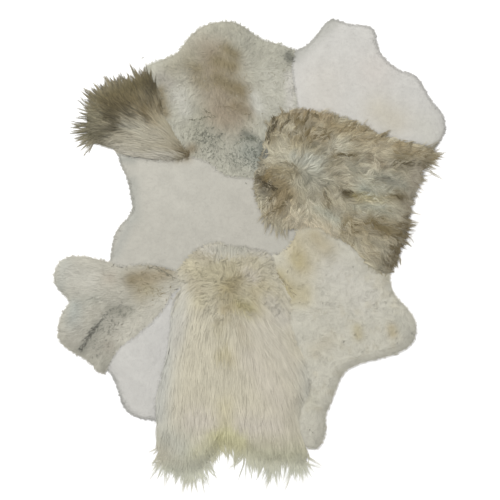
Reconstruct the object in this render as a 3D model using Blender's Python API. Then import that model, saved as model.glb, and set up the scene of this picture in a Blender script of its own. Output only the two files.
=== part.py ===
"""Patchwork rug pieced from nine cuts of Icelandic sheepskin, lying flat with its wool up.

Metres, +Z up. The origin is on the floor under the middle of the rug, and +Y points to its crown. Each cut is one
closed solid, leather and wool together: shorn to a short nap, left short and mottled, left curly, or left long so
that its locks fall over its edge, onto the floor or onto the next cut.
"""

import functools
import math
import random
from collections import namedtuple

import bmesh
import bpy
from mathutils import Vector, noise
from mathutils.geometry import delaunay_2d_cdt

CM = 0.01
MM = 0.001

# Sizes that hold for the whole rug
SEAM_GAP = 0.3 * MM
EDGE_STEP = 2.5 * CM
WOOL_STEP = 3.4 * CM
WOOL_CLEARANCE = 2.0 * MM
RIM_ROUNDING = 0.45
LOCK_SHARE_OF_RIM = 0.62
OVERHANG_DEPTH = 15.0 * MM
WIDEST_LOCK_ANGLE = 62.0
LOCK_SWING = 5.0

# A lock's sections from its root to its tip: share of its reach, width and depth beside those of its root
LOCK_SECTIONS = ((0.42, 0.74, 0.80), (0.76, 0.44, 0.50), (1.0, 0.10, 0.14))

# Kinds of wool: depth in the middle, at the rug's rim and at a seam, all from the floor, how far in from the edge
# the wool takes to reach its full depth, and the height and pitch of its lumps
Wool = namedtuple("Wool", "middle rim seam shoulder lump pitch")
WOOLS = {
    "shorn": Wool(15 * MM, 10 * MM, 11 * MM, 2.6 * CM, 1.2 * MM, 9 * CM),
    "short": Wool(23 * MM, 14 * MM, 15 * MM, 4.5 * CM, 3.5 * MM, 8 * CM),
    "curly": Wool(27 * MM, 17 * MM, 17 * MM, 4.5 * CM, 4.0 * MM, 7 * CM),
    "tail": Wool(40 * MM, 24 * MM, 22 * MM, 6.0 * CM, 5.0 * MM, 6 * CM),
    "long": Wool(45 * MM, 24 * MM, 22 * MM, 7.5 * CM, 8.0 * MM, 8 * CM),
}

# The cuts, each with its wool, its material and the corners round its outline
Skin = namedtuple("Skin", "wool colour roughness corners")
SKINS = {
    "mottled_skin": Skin(
        "short",
        (0.45, 0.40, 0.32),
        0.90,
        ["tail_top", "crown_end", "brown_top", "brown_left", "tail_root"],
    ),
    "tail_skin": Skin("tail", (0.25, 0.21, 0.15), 0.80, ["tail_low", "tail_top", "tail_root"]),
    "white_skin_upper": Skin(
        "shorn", (0.72, 0.68, 0.62), 0.95, ["crown_end", "shoulder", "brown_top"]
    ),
    "brown_skin": Skin(
        "long",
        (0.38, 0.34, 0.27),
        0.80,
        ["shoulder", "waist_right", "brown_foot", "brown_left", "brown_top"],
    ),
    "white_skin_middle": Skin(
        "shorn",
        (0.66, 0.63, 0.56),
        0.95,
        [
            "waist_left",
            "tail_low",
            "tail_root",
            "brown_left",
            "brown_foot",
            "cream_top",
            "grey_end",
        ],
    ),
    "grey_skin": Skin(
        "short", (0.50, 0.46, 0.39), 0.90, ["hip", "waist_left", "grey_end", "grey_low"]
    ),
    "white_skin_lower": Skin("shorn", (0.70, 0.67, 0.63), 0.95, ["foot_left", "hip", "grey_low"]),
    "cream_skin": Skin(
        "long",
        (0.60, 0.55, 0.43),
        0.80,
        ["foot_right", "foot_left", "grey_low", "grey_end", "cream_top"],
    ),
    "curly_skin": Skin(
        "curly",
        (0.58, 0.54, 0.42),
        0.90,
        ["waist_right", "foot_right", "cream_top", "brown_foot"],
    ),
}

# Where three edges meet, in centimetres from the middle of the rug
CORNERS = {
    "tail_top": (-42.0, 76.0),
    "crown_end": (18.2, 82.4),
    "shoulder": (73.6, 42.8),
    "waist_right": (56.0, -6.8),
    "foot_right": (22.0, -76.6),
    "foot_left": (-37.2, -66.2),
    "hip": (-57.2, -45.4),
    "waist_left": (-56.0, -2.6),
    "tail_low": (-53.2, 41.4),
    "tail_root": (-23.6, 40.0),
    "brown_left": (2.8, 31.6),
    "brown_top": (18.8, 58.8),
    "brown_foot": (19.2, 10.8),
    "cream_top": (8.8, 0.0),
    "grey_end": (-28.8, -6.6),
    "grey_low": (-27.2, -12.0),
}

# The rug's own rim between two corners: the centimetre points that each smooth edge passes through
RIM = {
    ("tail_top", "crown_end"): [
        (-34.8, 78.8), (-28.8, 81.6), (-24.4, 87.6), (-18.0, 92.4), (-10.8, 94.0),
        (-4.0, 92.8), (4.8, 86.8), (12.0, 84.8),
    ],
    ("crown_end", "shoulder"): [
        (22.6, 84.2), (26.4, 88.0), (31.2, 94.0), (34.0, 94.8), (40.0, 93.0), (48.0, 92.0),
        (50.4, 89.6), (50.8, 85.2), (54.0, 79.2), (60.0, 74.6), (66.4, 72.4), (69.6, 68.0),
        (73.2, 61.6), (76.8, 57.6), (78.4, 52.4), (77.4, 48.0),
    ],
    ("shoulder", "waist_right"): [
        (72.0, 39.6), (69.6, 35.2), (68.0, 29.6), (65.6, 24.4), (63.6, 16.0), (61.6, 6.4),
        (59.2, 0.0),
    ],
    ("waist_right", "foot_right"): [
        (56.4, -11.6), (58.4, -16.0), (63.2, -21.2), (66.4, -26.4), (66.4, -32.4),
        (63.2, -36.8), (56.8, -39.8), (50.0, -41.6), (42.0, -44.0), (36.8, -48.0),
        (34.4, -53.6), (32.4, -59.2), (30.4, -64.0), (30.2, -70.4), (27.6, -77.0),
    ],
    ("foot_right", "foot_left"): [
        (23.6, -80.4), (19.6, -82.4), (14.0, -80.8), (6.0, -80.8), (0.0, -77.6), (-5.6, -74.8),
        (-9.6, -74.2), (-13.6, -76.4), (-17.2, -80.8), (-21.0, -84.6), (-26.0, -85.6),
        (-32.0, -84.0), (-36.0, -79.6), (-37.2, -72.8),
    ],
    ("foot_left", "hip"): [
        (-44.6, -64.8), (-49.0, -62.4), (-51.2, -59.2), (-52.8, -53.6), (-55.0, -48.4),
    ],
    ("hip", "waist_left"): [
        (-59.6, -47.6), (-62.0, -45.0), (-66.2, -41.0), (-71.4, -38.4), (-75.4, -35.2),
        (-76.8, -32.0), (-76.4, -26.8), (-74.8, -22.4), (-72.2, -18.4), (-75.4, -14.8),
        (-78.0, -11.6), (-78.6, -8.4), (-77.6, -4.6), (-75.2, -1.8), (-70.8, -0.4),
        (-64.2, -0.8), (-59.2, -2.0),
    ],
    ("waist_left", "tail_low"): [
        (-55.2, 2.8), (-54.0, 8.8), (-51.6, 12.4), (-48.0, 16.4), (-47.0, 20.8), (-48.0, 26.0),
        (-48.8, 30.4), (-50.8, 34.8),
    ],
    ("tail_low", "tail_top"): [
        (-56.4, 44.0), (-61.2, 45.0), (-64.0, 47.6), (-65.2, 51.6), (-65.2, 56.4),
        (-64.4, 60.8), (-61.6, 64.4), (-57.6, 67.2), (-52.0, 68.8), (-46.8, 70.8),
    ],
}

# The sewn seams between two corners, written the same way
SEAMS = {
    ("tail_top", "tail_root"): [
        (-39.8, 71.2), (-36.4, 66.8), (-35.4, 61.6), (-34.4, 56.4), (-30.0, 48.8),
    ],
    ("tail_low", "tail_root"): [(-44.8, 39.6), (-36.4, 38.4), (-28.8, 38.4)],
    ("tail_root", "brown_left"): [(-18.0, 38.6), (-14.0, 36.0), (-10.4, 33.0), (-5.0, 31.8)],
    ("brown_left", "brown_top"): [(4.4, 38.4), (6.4, 46.4), (7.6, 51.6), (10.8, 56.0)],
    ("brown_top", "crown_end"): [(18.4, 64.0), (17.2, 70.4), (16.6, 76.0)],
    ("brown_top", "shoulder"): [
        (23.0, 58.0), (29.2, 57.2), (36.0, 55.6), (42.4, 53.6), (47.2, 50.6), (53.2, 48.0),
        (60.0, 46.0), (67.6, 44.6),
    ],
    ("brown_left", "brown_foot"): [(1.8, 27.6), (3.6, 21.2), (7.2, 15.0), (12.8, 11.6)],
    ("brown_foot", "waist_right"): [
        (27.0, 11.8), (32.4, 8.2), (39.2, 5.2), (43.6, 1.6), (46.8, -3.2), (51.0, -6.2),
    ],
    ("brown_foot", "cream_top"): [(17.0, 5.4), (13.4, 1.8)],
    ("cream_top", "foot_right"): [
        (10.4, -6.4), (13.6, -12.8), (16.0, -18.4), (15.8, -24.8), (16.8, -31.6),
        (20.0, -39.6), (22.4, -46.4), (24.2, -52.8), (21.2, -58.8), (18.8, -63.6),
        (19.0, -69.6),
    ],
    ("cream_top", "grey_end"): [
        (4.8, 1.8), (-1.2, 3.0), (-7.2, 3.4), (-13.2, 5.2), (-18.8, 3.6), (-22.8, 1.2),
        (-25.8, -2.4),
    ],
    ("waist_left", "grey_end"): [(-51.6, -4.6), (-44.0, -3.6), (-37.6, -4.0), (-33.2, -5.4)],
    ("grey_end", "grey_low"): [],
    ("grey_low", "hip"): [
        (-31.0, -15.0), (-34.0, -20.0), (-38.8, -25.6), (-45.2, -31.4), (-51.6, -36.0),
        (-55.4, -41.2),
    ],
    ("grey_low", "foot_left"): [
        (-30.0, -18.8), (-31.6, -29.6), (-32.8, -39.6), (-36.0, -51.6), (-37.4, -59.6),
    ],
}

# How the long wool is combed: from where, which way (0 is +X and 90 is +Y), and how far its locks pass the edge
Comb = namedtuple("Comb", "x y heading reach")
COMBS = {
    "tail_skin": [
        Comb(-44, 72, 112, 1.5),
        Comb(-52, 69, 115, 2.2),
        Comb(-59, 66, 132, 2.8),
        Comb(-64, 61, 152, 4.0),
        Comb(-65, 53, 172, 5.2),
        Comb(-64, 47, 200, 5.8),
        Comb(-56, 44, 215, 2.0),
        Comb(-30, 43, 150, 1.5),
    ],
    "brown_skin": [
        Comb(19, 58, 80, 2.2),
        Comb(33, 56, 50, 2.0),
        Comb(45, 52, 32, 2.0),
        Comb(62, 46, 14, 2.5),
        Comb(72, 41, -18, 4.5),
        Comb(68, 30, -8, 5.0),
        Comb(65, 21, -12, 4.5),
        Comb(62, 8, -6, 3.0),
        Comb(57, -4, -30, 2.2),
        Comb(44, 1, -52, 2.0),
        Comb(31, 9, -62, 2.0),
        Comb(18, 11, -100, 3.5),
        Comb(8, 14, -122, 3.0),
        Comb(3, 23, -158, 2.5),
        Comb(4, 36, 150, 2.5),
        Comb(7, 50, 128, 2.5),
    ],
    "cream_skin": [
        Comb(8, 1, 60, 1.8),
        Comb(-6, 4, 92, 1.8),
        Comb(-14, 5, 108, 2.0),
        Comb(-25, -1, 158, 2.0),
        Comb(-28, -10, 190, 2.0),
        Comb(-31, -30, 250, 2.0),
        Comb(-36, -58, 256, 3.0),
        Comb(-37, -73, 245, 5.5),
        Comb(-34, -83, 256, 8.0),
        Comb(-24, -85, 272, 8.0),
        Comb(-17, -81, 280, 7.0),
        Comb(-10, -74, 268, 4.5),
        Comb(0, -78, 284, 6.5),
        Comb(7, -81, 274, 8.5),
        Comb(18, -82, 282, 8.5),
        Comb(23, -79, 298, 8.0),
        Comb(19, -60, 286, 2.0),
        Comb(21, -43, 312, 2.0),
        Comb(16, -24, 318, 2.0),
        Comb(14, -12, 325, 2.0),
    ],
}


def smooth_edge(points):
    """Points EDGE_STEP apart on a smooth curve through these points, both ends included."""
    padded = [2 * points[0] - points[1], *points, 2 * points[-1] - points[-2]]
    fine = [points[0]]
    parts = 12
    for a, b, c, d in zip(padded, padded[1:], padded[2:], padded[3:]):
        for i in range(1, parts + 1):
            t = i / parts
            fine.append(
                0.5
                * (
                    2 * b
                    + (c - a) * t
                    + (2 * a - 5 * b + 4 * c - d) * t * t
                    + (3 * b - a - 3 * c + d) * t * t * t
                )
            )
    travelled = [0.0]
    for a, b in zip(fine, fine[1:]):
        travelled.append(travelled[-1] + (b - a).length)
    count = max(2, round(travelled[-1] / EDGE_STEP))
    spaced = []
    place = 0
    for k in range(count + 1):
        wanted = travelled[-1] * k / count
        while place < len(fine) - 2 and travelled[place + 1] < wanted:
            place += 1
        share = (wanted - travelled[place]) / (travelled[place + 1] - travelled[place])
        spaced.append(fine[place].lerp(fine[place + 1], min(1.0, max(0.0, share))))
    return spaced


def edge_between(start, end):
    """(points from start to end, whether the edge is the rug's rim)."""
    for table, is_rim in ((RIM, True), (SEAMS, False)):
        for (first, last), through in table.items():
            if (first, last) not in ((start, end), (end, start)):
                continue
            line = [Vector(p) * CM for p in (CORNERS[first], *through, CORNERS[last])]
            line = smooth_edge(line)
            return (line if first == start else line[::-1]), is_rim
    raise ValueError(f"no edge joins {start} and {end}")


def neighbour_across(name, start, end):
    """The name of the skin on the other side of a seam."""
    for other, skin in SKINS.items():
        ring = skin.corners
        sides = set(zip(ring, ring[1:] + ring[:1]))
        if other != name and ((start, end) in sides or (end, start) in sides):
            return other
    return None


def combed(name, place):
    """(heading in radians, reach in metres) of a long wool at a place, from the comb rows near it."""
    pull = Vector((0.0, 0.0))
    reach = 0.0
    total = 0.0
    for row in COMBS[name]:
        away = (place - Vector((row.x, row.y)) * CM).length
        weight = 1.0 / (away * away + (2.0 * CM) ** 2)
        angle = math.radians(row.heading)
        pull += weight * Vector((math.cos(angle), math.sin(angle)))
        reach += weight * row.reach * CM
        total += weight
    return math.atan2(pull.y, pull.x), reach / total


def inward(ring, i):
    """The inward offset of corner i that moves both of its edges in by one unit. The ring runs clockwise."""
    before = (ring[i] - ring[i - 1]).normalized()
    after = (ring[(i + 1) % len(ring)] - ring[i]).normalized()
    normal_before = Vector((before.y, -before.x))
    normal_after = Vector((after.y, -after.x))
    middle = (normal_before + normal_after).normalized()
    return middle / max(0.3, middle.dot(normal_after))


def dome(share):
    """How much of its full depth the wool has at this share of the shoulder's width."""
    share = min(1.0, max(0.0, share))
    return math.sin(share * math.pi / 2)


def highest_below(name, place, half_width):
    """The highest that another skin's wool can reach under a lock at a place, or 0 over the bare floor."""
    highest = 0.0
    for other, skin in SKINS.items():
        ring = [row[0] for row in outline(other)]
        away = nearest_edge(ring, place)[0]
        within = inside(ring, place)
        if other == name or not (within or away < half_width):
            continue
        wool = WOOLS[skin.wool]
        share = dome(((away if within else 0.0) + half_width + WOOL_STEP / 2) / wool.shoulder)
        top = wool.seam + (wool.middle + wool.lump - wool.seam) * share
        highest = max(highest, top, wool.rim)
    return highest


@functools.cache
def outline(name):
    """The skin's outline, clockwise: rows of point, height of the wall's middle and top, rim share and side."""
    skin = SKINS[name]
    wool = WOOLS[skin.wool]
    rows = []
    for start, end in zip(skin.corners, skin.corners[1:] + skin.corners[:1]):
        line, is_rim = edge_between(start, end)
        if is_rim:
            middle = wool.rim * LOCK_SHARE_OF_RIM
            top = wool.rim
        elif name in COMBS:
            other = WOOLS[SKINS[neighbour_across(name, start, end)].wool]
            middle = min(other.seam + WOOL_CLEARANCE, wool.middle - OVERHANG_DEPTH)
            top = middle + OVERHANG_DEPTH
        else:
            middle = wool.seam / 2
            top = wool.seam
        for k, point in enumerate(line[:-1]):
            rows.append([point, middle, top, 1.0 if is_rim and k else 0.0, (start, end)])
    for i, row in enumerate(rows):
        if row[4] != rows[i - 1][4]:
            row[1] = max(rows[i - 1][1], row[1])
            row[2] = max(rows[i - 1][2], row[2])
    return rows


def inside(ring, point):
    """Whether a point is inside a closed ring."""
    odd = False
    for a, b in zip(ring, ring[1:] + ring[:1]):
        if (a.y > point.y) != (b.y > point.y):
            if point.x < (b.x - a.x) * (point.y - a.y) / (b.y - a.y) + a.x:
                odd = not odd
    return odd


def nearest_edge(ring, point):
    """(distance to the ring, index of the side that is nearest, place along that side)."""
    best = (1e9, 0, 0.0)
    for i, a in enumerate(ring):
        side = ring[(i + 1) % len(ring)] - a
        along = min(1.0, max(0.0, (point - a).dot(side) / side.length_squared))
        away = (point - a - side * along).length
        if away < best[0]:
            best = (away, i, along)
    return best


def wool_points(ring):
    """Staggered points over the inside of the ring, clear of its edge."""
    low = Vector((min(p.x for p in ring), min(p.y for p in ring)))
    high = Vector((max(p.x for p in ring), max(p.y for p in ring)))
    row_step = WOOL_STEP * math.sqrt(3) / 2
    found = []
    for j in range(int((high.y - low.y) / row_step) + 1):
        for i in range(int((high.x - low.x) / WOOL_STEP) + 2):
            point = low + Vector(((i + 0.5 * (j % 2)) * WOOL_STEP, j * row_step))
            if inside(ring, point) and nearest_edge(ring, point)[0] > 0.55 * WOOL_STEP:
                found.append(point)
    return found


def fall_of_lock(name, face_points, sway):
    """Sections of a lock that leaves a wall face: each is centre, half width across, bottom and top. None if
    the wool there is combed along the edge, or a lock on the floor would run into another skin."""
    low_b, low_a, high_a, high_b = face_points
    root = (low_a + low_b) / 2
    along = (low_b - low_a).xy
    outward = Vector((-along.y, along.x)).normalized()
    heading, reach = combed(name, root.xy)
    heading += math.radians(LOCK_SWING) * sway[0]
    reach *= 1.0 + 0.28 * sway[1]
    way = Vector((math.cos(heading), math.sin(heading)))
    square = way.dot(outward)
    if square < math.cos(math.radians(WIDEST_LOCK_ANGLE)):
        return None
    across = Vector((way.y, -way.x))
    half = along.length / 2 * square
    depth = (high_a.z + high_b.z - low_a.z - low_b.z) / 2
    bottom = root.z
    sections = []
    for share, width, thickness in LOCK_SECTIONS:
        bend = across * (0.05 * reach * sway[2] * math.sin(share * math.pi))
        centre = root.xy + way * reach * share + bend
        below = highest_below(name, centre, half * width + WOOL_CLEARANCE)
        if root.z == 0.0 and below > 0.0:
            return None
        if below > 0.0:
            bottom = max(bottom, below + WOOL_CLEARANCE)
        sections.append((centre, across * half * width, bottom, bottom + depth * thickness))
    return sections


def grow_lock(mesh, face, name, sway):
    """Draws a four-sided lock out of a wall face."""
    # The face's corners run bottom end, bottom start, top start, top end along the outline.
    points = [v.co.copy() for v in face.verts]
    sections = fall_of_lock(name, points, sway)
    if sections is None:
        return
    for centre, half, bottom, top in sections:
        face = bmesh.ops.extrude_discrete_faces(mesh, faces=[face])["faces"][0]
        corners = (
            (centre + half, bottom),
            (centre - half, bottom),
            (centre - half, top),
            (centre + half, top),
        )
        for vertex, (place, height) in zip(face.verts, corners):
            vertex.co = (place.x, place.y, height)


def build_skin(name, seed):
    """One closed solid: flat leather below, walls round the outline, lumpy wool on top, and locks at the edge."""
    skin = SKINS[name]
    wool = WOOLS[skin.wool]
    rows = outline(name)
    cut = [row[0] for row in rows]
    inset = [inward(cut, i) for i in range(len(cut))]
    base = [p + n * (SEAM_GAP / 2) for p, n in zip(cut, inset)]
    top = [
        p + n.normalized() * (row[3] * RIM_ROUNDING * row[2])
        for p, n, row in zip(base, inset, rows)
    ]

    count = len(rows)
    sides = [(i, (i + 1) % count) for i in range(count)]
    flat, _, triangles, _, _, _ = delaunay_2d_cdt(top + wool_points(top), sides, [], 1, 1e-7)

    mesh = bmesh.new()
    upper = []
    for i, point in enumerate(flat):
        if i < count:
            height = rows[i][2]
        else:
            away, side, along = nearest_edge(top, point)
            edge = rows[side][2] * (1 - along) + rows[(side + 1) % count][2] * along
            share = dome(away / wool.shoulder)
            lump = wool.lump * noise.noise(Vector((point.x, point.y, seed)) / wool.pitch)
            height = edge + (wool.middle - edge + lump) * share
        upper.append(mesh.verts.new((point.x, point.y, height)))
    middle = [mesh.verts.new((p.x, p.y, row[1])) for p, row in zip(base, rows)]
    lower = [mesh.verts.new((p.x, p.y, 0.0)) for p in base]

    for triangle in triangles:
        mesh.faces.new([upper[i] for i in triangle])
    mesh.faces.new(lower)
    lock_faces = []
    for i, j in sides:
        wall_low = mesh.faces.new((lower[j], lower[i], middle[i], middle[j]))
        wall_high = mesh.faces.new((middle[j], middle[i], upper[i], upper[j]))
        is_rim = neighbour_across(name, *rows[i][4]) is None
        lock_faces.append(wall_low if is_rim else wall_high)
    if name in COMBS:
        chance = random.Random(seed)
        for face in lock_faces:
            sway = [chance.uniform(-1, 1) for _ in range(3)]
            grow_lock(mesh, face, name, sway)

    data = bpy.data.meshes.new(name)
    mesh.to_mesh(data)
    mesh.free()
    data.shade_smooth()
    data.set_sharp_from_angle(angle=math.radians(50))
    data.materials.append(wool_material(name, skin))
    obj = bpy.data.objects.new(name, data)
    bpy.context.scene.collection.objects.link(obj)
    return obj


def wool_material(name, skin):
    """A plain matt material in the wool's colour."""
    material = bpy.data.materials.new(name)
    material.use_nodes = True
    shader = material.node_tree.nodes["Principled BSDF"]
    shader.inputs["Base Color"].default_value = (*skin.colour, 1.0)
    shader.inputs["Roughness"].default_value = skin.roughness
    shader.inputs["Metallic"].default_value = 0.0
    return material


def main():
    for obj in list(bpy.data.objects):
        bpy.data.objects.remove(obj)
    for seed, name in enumerate(SKINS, start=1):
        build_skin(name, seed)


main()
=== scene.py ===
import math
from collections import namedtuple

import bpy
import numpy as np
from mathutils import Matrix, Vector
from mathutils.geometry import delaunay_2d_cdt


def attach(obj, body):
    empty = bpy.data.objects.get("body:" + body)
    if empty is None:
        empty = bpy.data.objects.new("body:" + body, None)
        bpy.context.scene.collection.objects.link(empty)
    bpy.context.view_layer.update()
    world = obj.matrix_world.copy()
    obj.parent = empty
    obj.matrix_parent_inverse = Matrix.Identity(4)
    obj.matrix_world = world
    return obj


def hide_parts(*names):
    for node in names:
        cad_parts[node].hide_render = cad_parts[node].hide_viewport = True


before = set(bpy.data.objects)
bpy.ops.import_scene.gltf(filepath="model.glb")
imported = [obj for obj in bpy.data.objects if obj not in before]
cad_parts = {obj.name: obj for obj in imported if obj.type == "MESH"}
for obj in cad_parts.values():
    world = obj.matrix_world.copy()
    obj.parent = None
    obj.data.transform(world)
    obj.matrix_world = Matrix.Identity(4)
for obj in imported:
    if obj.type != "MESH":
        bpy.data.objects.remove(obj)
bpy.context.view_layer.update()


# The nine hides
# Each cut is tanned sheep leather about 2 mm thick, with its wool left on. Its flesh side is pale suede and lies on
# the floor. The cuts are trimmed to one another along their seams and butted edge to edge.

CM = 0.01
MM = 0.001
LEATHER_LOW = 0.9 * MM
LEATHER_HIGH = 3.0 * MM
LOCK_TIP = 6 * MM
LOCK_CORNERS = 3


class Tone:
    """A number or colour inside a material, for sums in Python's own operators."""

    def __init__(self, tree, socket=None):
        self.tree = tree
        self.socket = socket

    def node(self, kind, settings=None, sockets=None, out=0):
        """Adds a node, sets it up, then gives its sockets their values or links."""
        made = self.tree.nodes.new("ShaderNode" + kind)
        for name, value in (settings or {}).items():
            if name == "stops":
                ramp = made.color_ramp
                while len(ramp.elements) < len(value):
                    ramp.elements.new(0.5)
                for element, (place, colour) in zip(ramp.elements, value):
                    element.position = place
                    element.color = colour
            else:
                setattr(made, name, value)
        for name, value in (sockets or {}).items():
            if isinstance(value, Tone):
                self.tree.links.new(value.socket, made.inputs[name])
            else:
                made.inputs[name].default_value = value
        return Tone(self.tree, made.outputs[out])

    def sum(self, operation, *values):
        return self.node("Math", {"operation": operation}, dict(enumerate(values)))

    def __add__(self, other):
        return self.sum("ADD", self, other)

    __radd__ = __add__

    def __sub__(self, other):
        return self.sum("SUBTRACT", self, other)

    def __rsub__(self, other):
        return self.sum("SUBTRACT", other, self)

    def __mul__(self, other):
        return self.sum("MULTIPLY", self, other)

    __rmul__ = __mul__

    def mix(self, colour_a, colour_b):
        """colour_a where this number is 0 and colour_b where it is 1."""
        return self.node(
            "Mix", {"data_type": "RGBA"}, {0: self, 6: colour_a, 7: colour_b}, out=2
        )

    def tint(self, colour, amount):
        """A colour times this number's light or dark, by the amount."""
        grey = self.node("CombineColor", None, {0: self, 1: self, 2: self})
        return self.node(
            "Mix", {"data_type": "RGBA", "blend_type": "MULTIPLY"}, {0: amount, 6: colour, 7: grey}, out=2
        )


def tone(code):
    """The linear red, green and blue of a colour written as six hex digits."""
    parts = np.array([int(code[i : i + 2], 16) for i in (0, 2, 4)]) / 255
    return np.where(parts <= 0.04045, parts / 12.92, ((parts + 0.055) / 1.055) ** 2.4)


def new_material(name, sheen, sheen_roughness):
    """A matt Principled material with its constants set, and a Tone and the shader's sockets to work with."""
    material = bpy.data.materials.new(name)
    material.use_nodes = True
    shader = material.node_tree.nodes["Principled BSDF"]
    shader.inputs["Specular IOR Level"].default_value = 0.25
    shader.inputs["Sheen Weight"].default_value = sheen
    shader.inputs["Sheen Roughness"].default_value = sheen_roughness
    return material, Tone(material.node_tree), shader.inputs


def join(tones, values, sockets):
    """Links or sets several of the shader's sockets."""
    for name, value in values.items():
        if isinstance(value, Tone):
            tones.tree.links.new(value.socket, sockets[name])
        else:
            sockets[name].default_value = value


def suede_material():
    """Pale tanned suede: cloudy colour, a short napped grain and scattered darker pores."""
    material, tones, sockets = new_material("suede", 0.25, 0.5)
    place = tones.node("TexCoord", out=3)
    clouds = tones.node("TexNoise", None, {"Vector": place, "Scale": 9, "Detail": 4})
    grain = tones.node("TexNoise", None, {"Vector": place, "Scale": 700, "Detail": 2})
    pores = tones.node("TexVoronoi", None, {"Vector": place, "Scale": 260})
    colour = clouds.mix((*tone("CDBB9C"), 1), (*tone("E3D8C3"), 1))
    height = grain * 0.6 + pores * 0.4
    values = {
        "Base Color": height.tint(colour, 0.35),
        "Roughness": 0.82 + grain * 0.16,
        "Normal": tones.node("Bump", None, {"Strength": 0.35, "Distance": 0.4 * MM, "Height": height}),
    }
    join(tones, values, sockets)
    return material


def cut_ring(node):
    """The corners round a cut's leather, from the underside of its solid, with the locks at its rim left off."""
    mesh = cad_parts[node].data
    corners = [tuple(round(c, 6) for c in v.co) for v in mesh.vertices]
    sides = set()
    for face in mesh.polygons:
        points = [corners[i] for i in face.vertices]
        if max(p[2] for p in points) < 0.01 * MM:
            sides.update(zip(points, points[1:] + points[:1]))
    follows = {a: b for a, b in sides if (b, a) not in sides}
    ring = [min(follows)]
    while follows[ring[-1]] != ring[0]:
        ring.append(follows[ring[-1]])
    count = len(ring)
    locks = set()
    for i, point in enumerate(ring):
        if math.dist(point, ring[(i + 1) % count]) < LOCK_TIP:
            locks.update((i + k) % count for k in range(1 - LOCK_CORNERS, 1 + LOCK_CORNERS))
    return np.array([p[:2] for i, p in enumerate(ring) if i not in locks])


def mesh_object(name, points, faces, material):
    mesh = bpy.data.meshes.new(name)
    mesh.from_pydata([tuple(p) for p in points], [], [tuple(f) for f in faces])
    mesh.materials.append(material)
    piece = bpy.data.objects.new(name, mesh)
    bpy.context.scene.collection.objects.link(piece)
    return piece


def cut_hide(node, material):
    """A flat slab of leather in the shape of the cut, with the area of its face."""
    ring = rings[node]
    count = len(ring)
    points = [(*p, z) for z in (LEATHER_LOW, LEATHER_HIGH) for p in ring]
    walls = [(i, count + i, count + (i + 1) % count, (i + 1) % count) for i in range(count)]
    faces = [range(count), range(2 * count - 1, count - 1, -1)]
    hide = mesh_object(node + "_leather", points, [*faces, *walls], material)
    after = np.roll(ring, -1, axis=0)
    area = abs((ring[:, 0] * after[:, 1] - ring[:, 1] * after[:, 0]).sum()) / 2
    return hide, area


cuts = sorted(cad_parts)
rings = {node: cut_ring(node) for node in cuts}
suede = suede_material()
hides = {node: cut_hide(node, suede) for node in cuts}
for hide, _ in hides.values():
    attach(hide, "root")


# The seams
# The cuts are joined on the flesh side with a furrier's overcast: waxed cream thread that goes over and over the
# butted edges in a close zigzag, and shows only from below.

STITCH = 6 * MM
STITCH_REACH = 2.4 * MM
THREAD = 0.8 * MM


def to_sides(points, ends_a, ends_b):
    """The distance from each point to the nearest of some straight sides."""
    nearest = np.full(len(points), 9.0)
    for a, b in zip(ends_a, ends_b):
        side = b - a
        along = np.clip((points - a) @ side / (side @ side), 0, 1)
        nearest = np.minimum(nearest, np.linalg.norm(points - a - along[:, None] * side, axis=1))
    return nearest


def seam_sides(node):
    """For each side of the cut, the other cut that it is sewn to, or None along the rim."""
    ring = rings[node]
    middle = (ring + np.roll(ring, -1, axis=0)) / 2
    sewn_to = [None] * len(ring)
    for other in cuts:
        if other != node:
            gap = to_sides(middle, rings[other], np.roll(rings[other], -1, axis=0))
            for i in np.flatnonzero(gap < 2 * MM):
                sewn_to[i] = other
    return sewn_to


def sew_seams(material):
    """All the overcast stitches as one mesh of short three-sided threads."""
    points = []
    faces = []
    for node in cuts:
        ring = rings[node]
        for i, other in enumerate(sewn[node]):
            if other is None or other < node:
                continue
            a, b = ring[i], ring[(i + 1) % len(ring)]
            way = (b - a) / np.linalg.norm(b - a)
            across = np.array([-way[1], way[0]])
            count = max(1, round(np.linalg.norm(b - a) / STITCH))
            for k in range(count):
                for start, end, lean in ((k, k + 0.5, 1), (k + 0.5, k + 1, -1)):
                    p = a + (b - a) * start / count - across * STITCH_REACH * lean
                    q = a + (b - a) * end / count + across * STITCH_REACH * lean
                    line = (q - p) / np.linalg.norm(q - p)
                    wide = np.array([-line[1], line[0]]) * THREAD / 2
                    first = len(points)
                    for end_point in (p, q):
                        points += [
                            (*(end_point - wide), LEATHER_LOW + 0.1 * MM),
                            (*end_point, 0.3 * MM),
                            (*(end_point + wide), LEATHER_LOW + 0.1 * MM),
                        ]
                    faces += [[first + c for c in corner] for corner in STITCH_FACES]
    return mesh_object("seam_stitches", points, faces, material)


STITCH_FACES = ((0, 3, 4, 1), (1, 4, 5, 2), (2, 5, 3, 0), (0, 1, 2), (5, 4, 3))


def thread_material():
    """Waxed cream thread with a fine twist."""
    material, tones, sockets = new_material("waxed_thread", 0.1, 0.4)
    place = tones.node("TexCoord", out=3)
    twist = tones.node("TexNoise", None, {"Vector": place, "Scale": 1800, "Detail": 1})
    colour = twist.mix((*tone("A8966F"), 1), (*tone("D8CBAA"), 1))
    values = {
        "Base Color": colour,
        "Roughness": 0.45 + twist * 0.2,
        "Normal": tones.node("Bump", None, {"Strength": 0.4, "Distance": 0.1 * MM, "Height": twist}),
    }
    join(tones, values, sockets)
    return material


sewn = {node: seam_sides(node) for node in cuts}
stitches = sew_seams(thread_material())
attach(stitches, "root")


# The under-wool
# Below the hair that shows, each cut carries a dense mat of under-wool. It is deepest in the middle of the cut,
# thins to its rim and is parted along its seams, and the longer hair lies on it.

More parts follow.
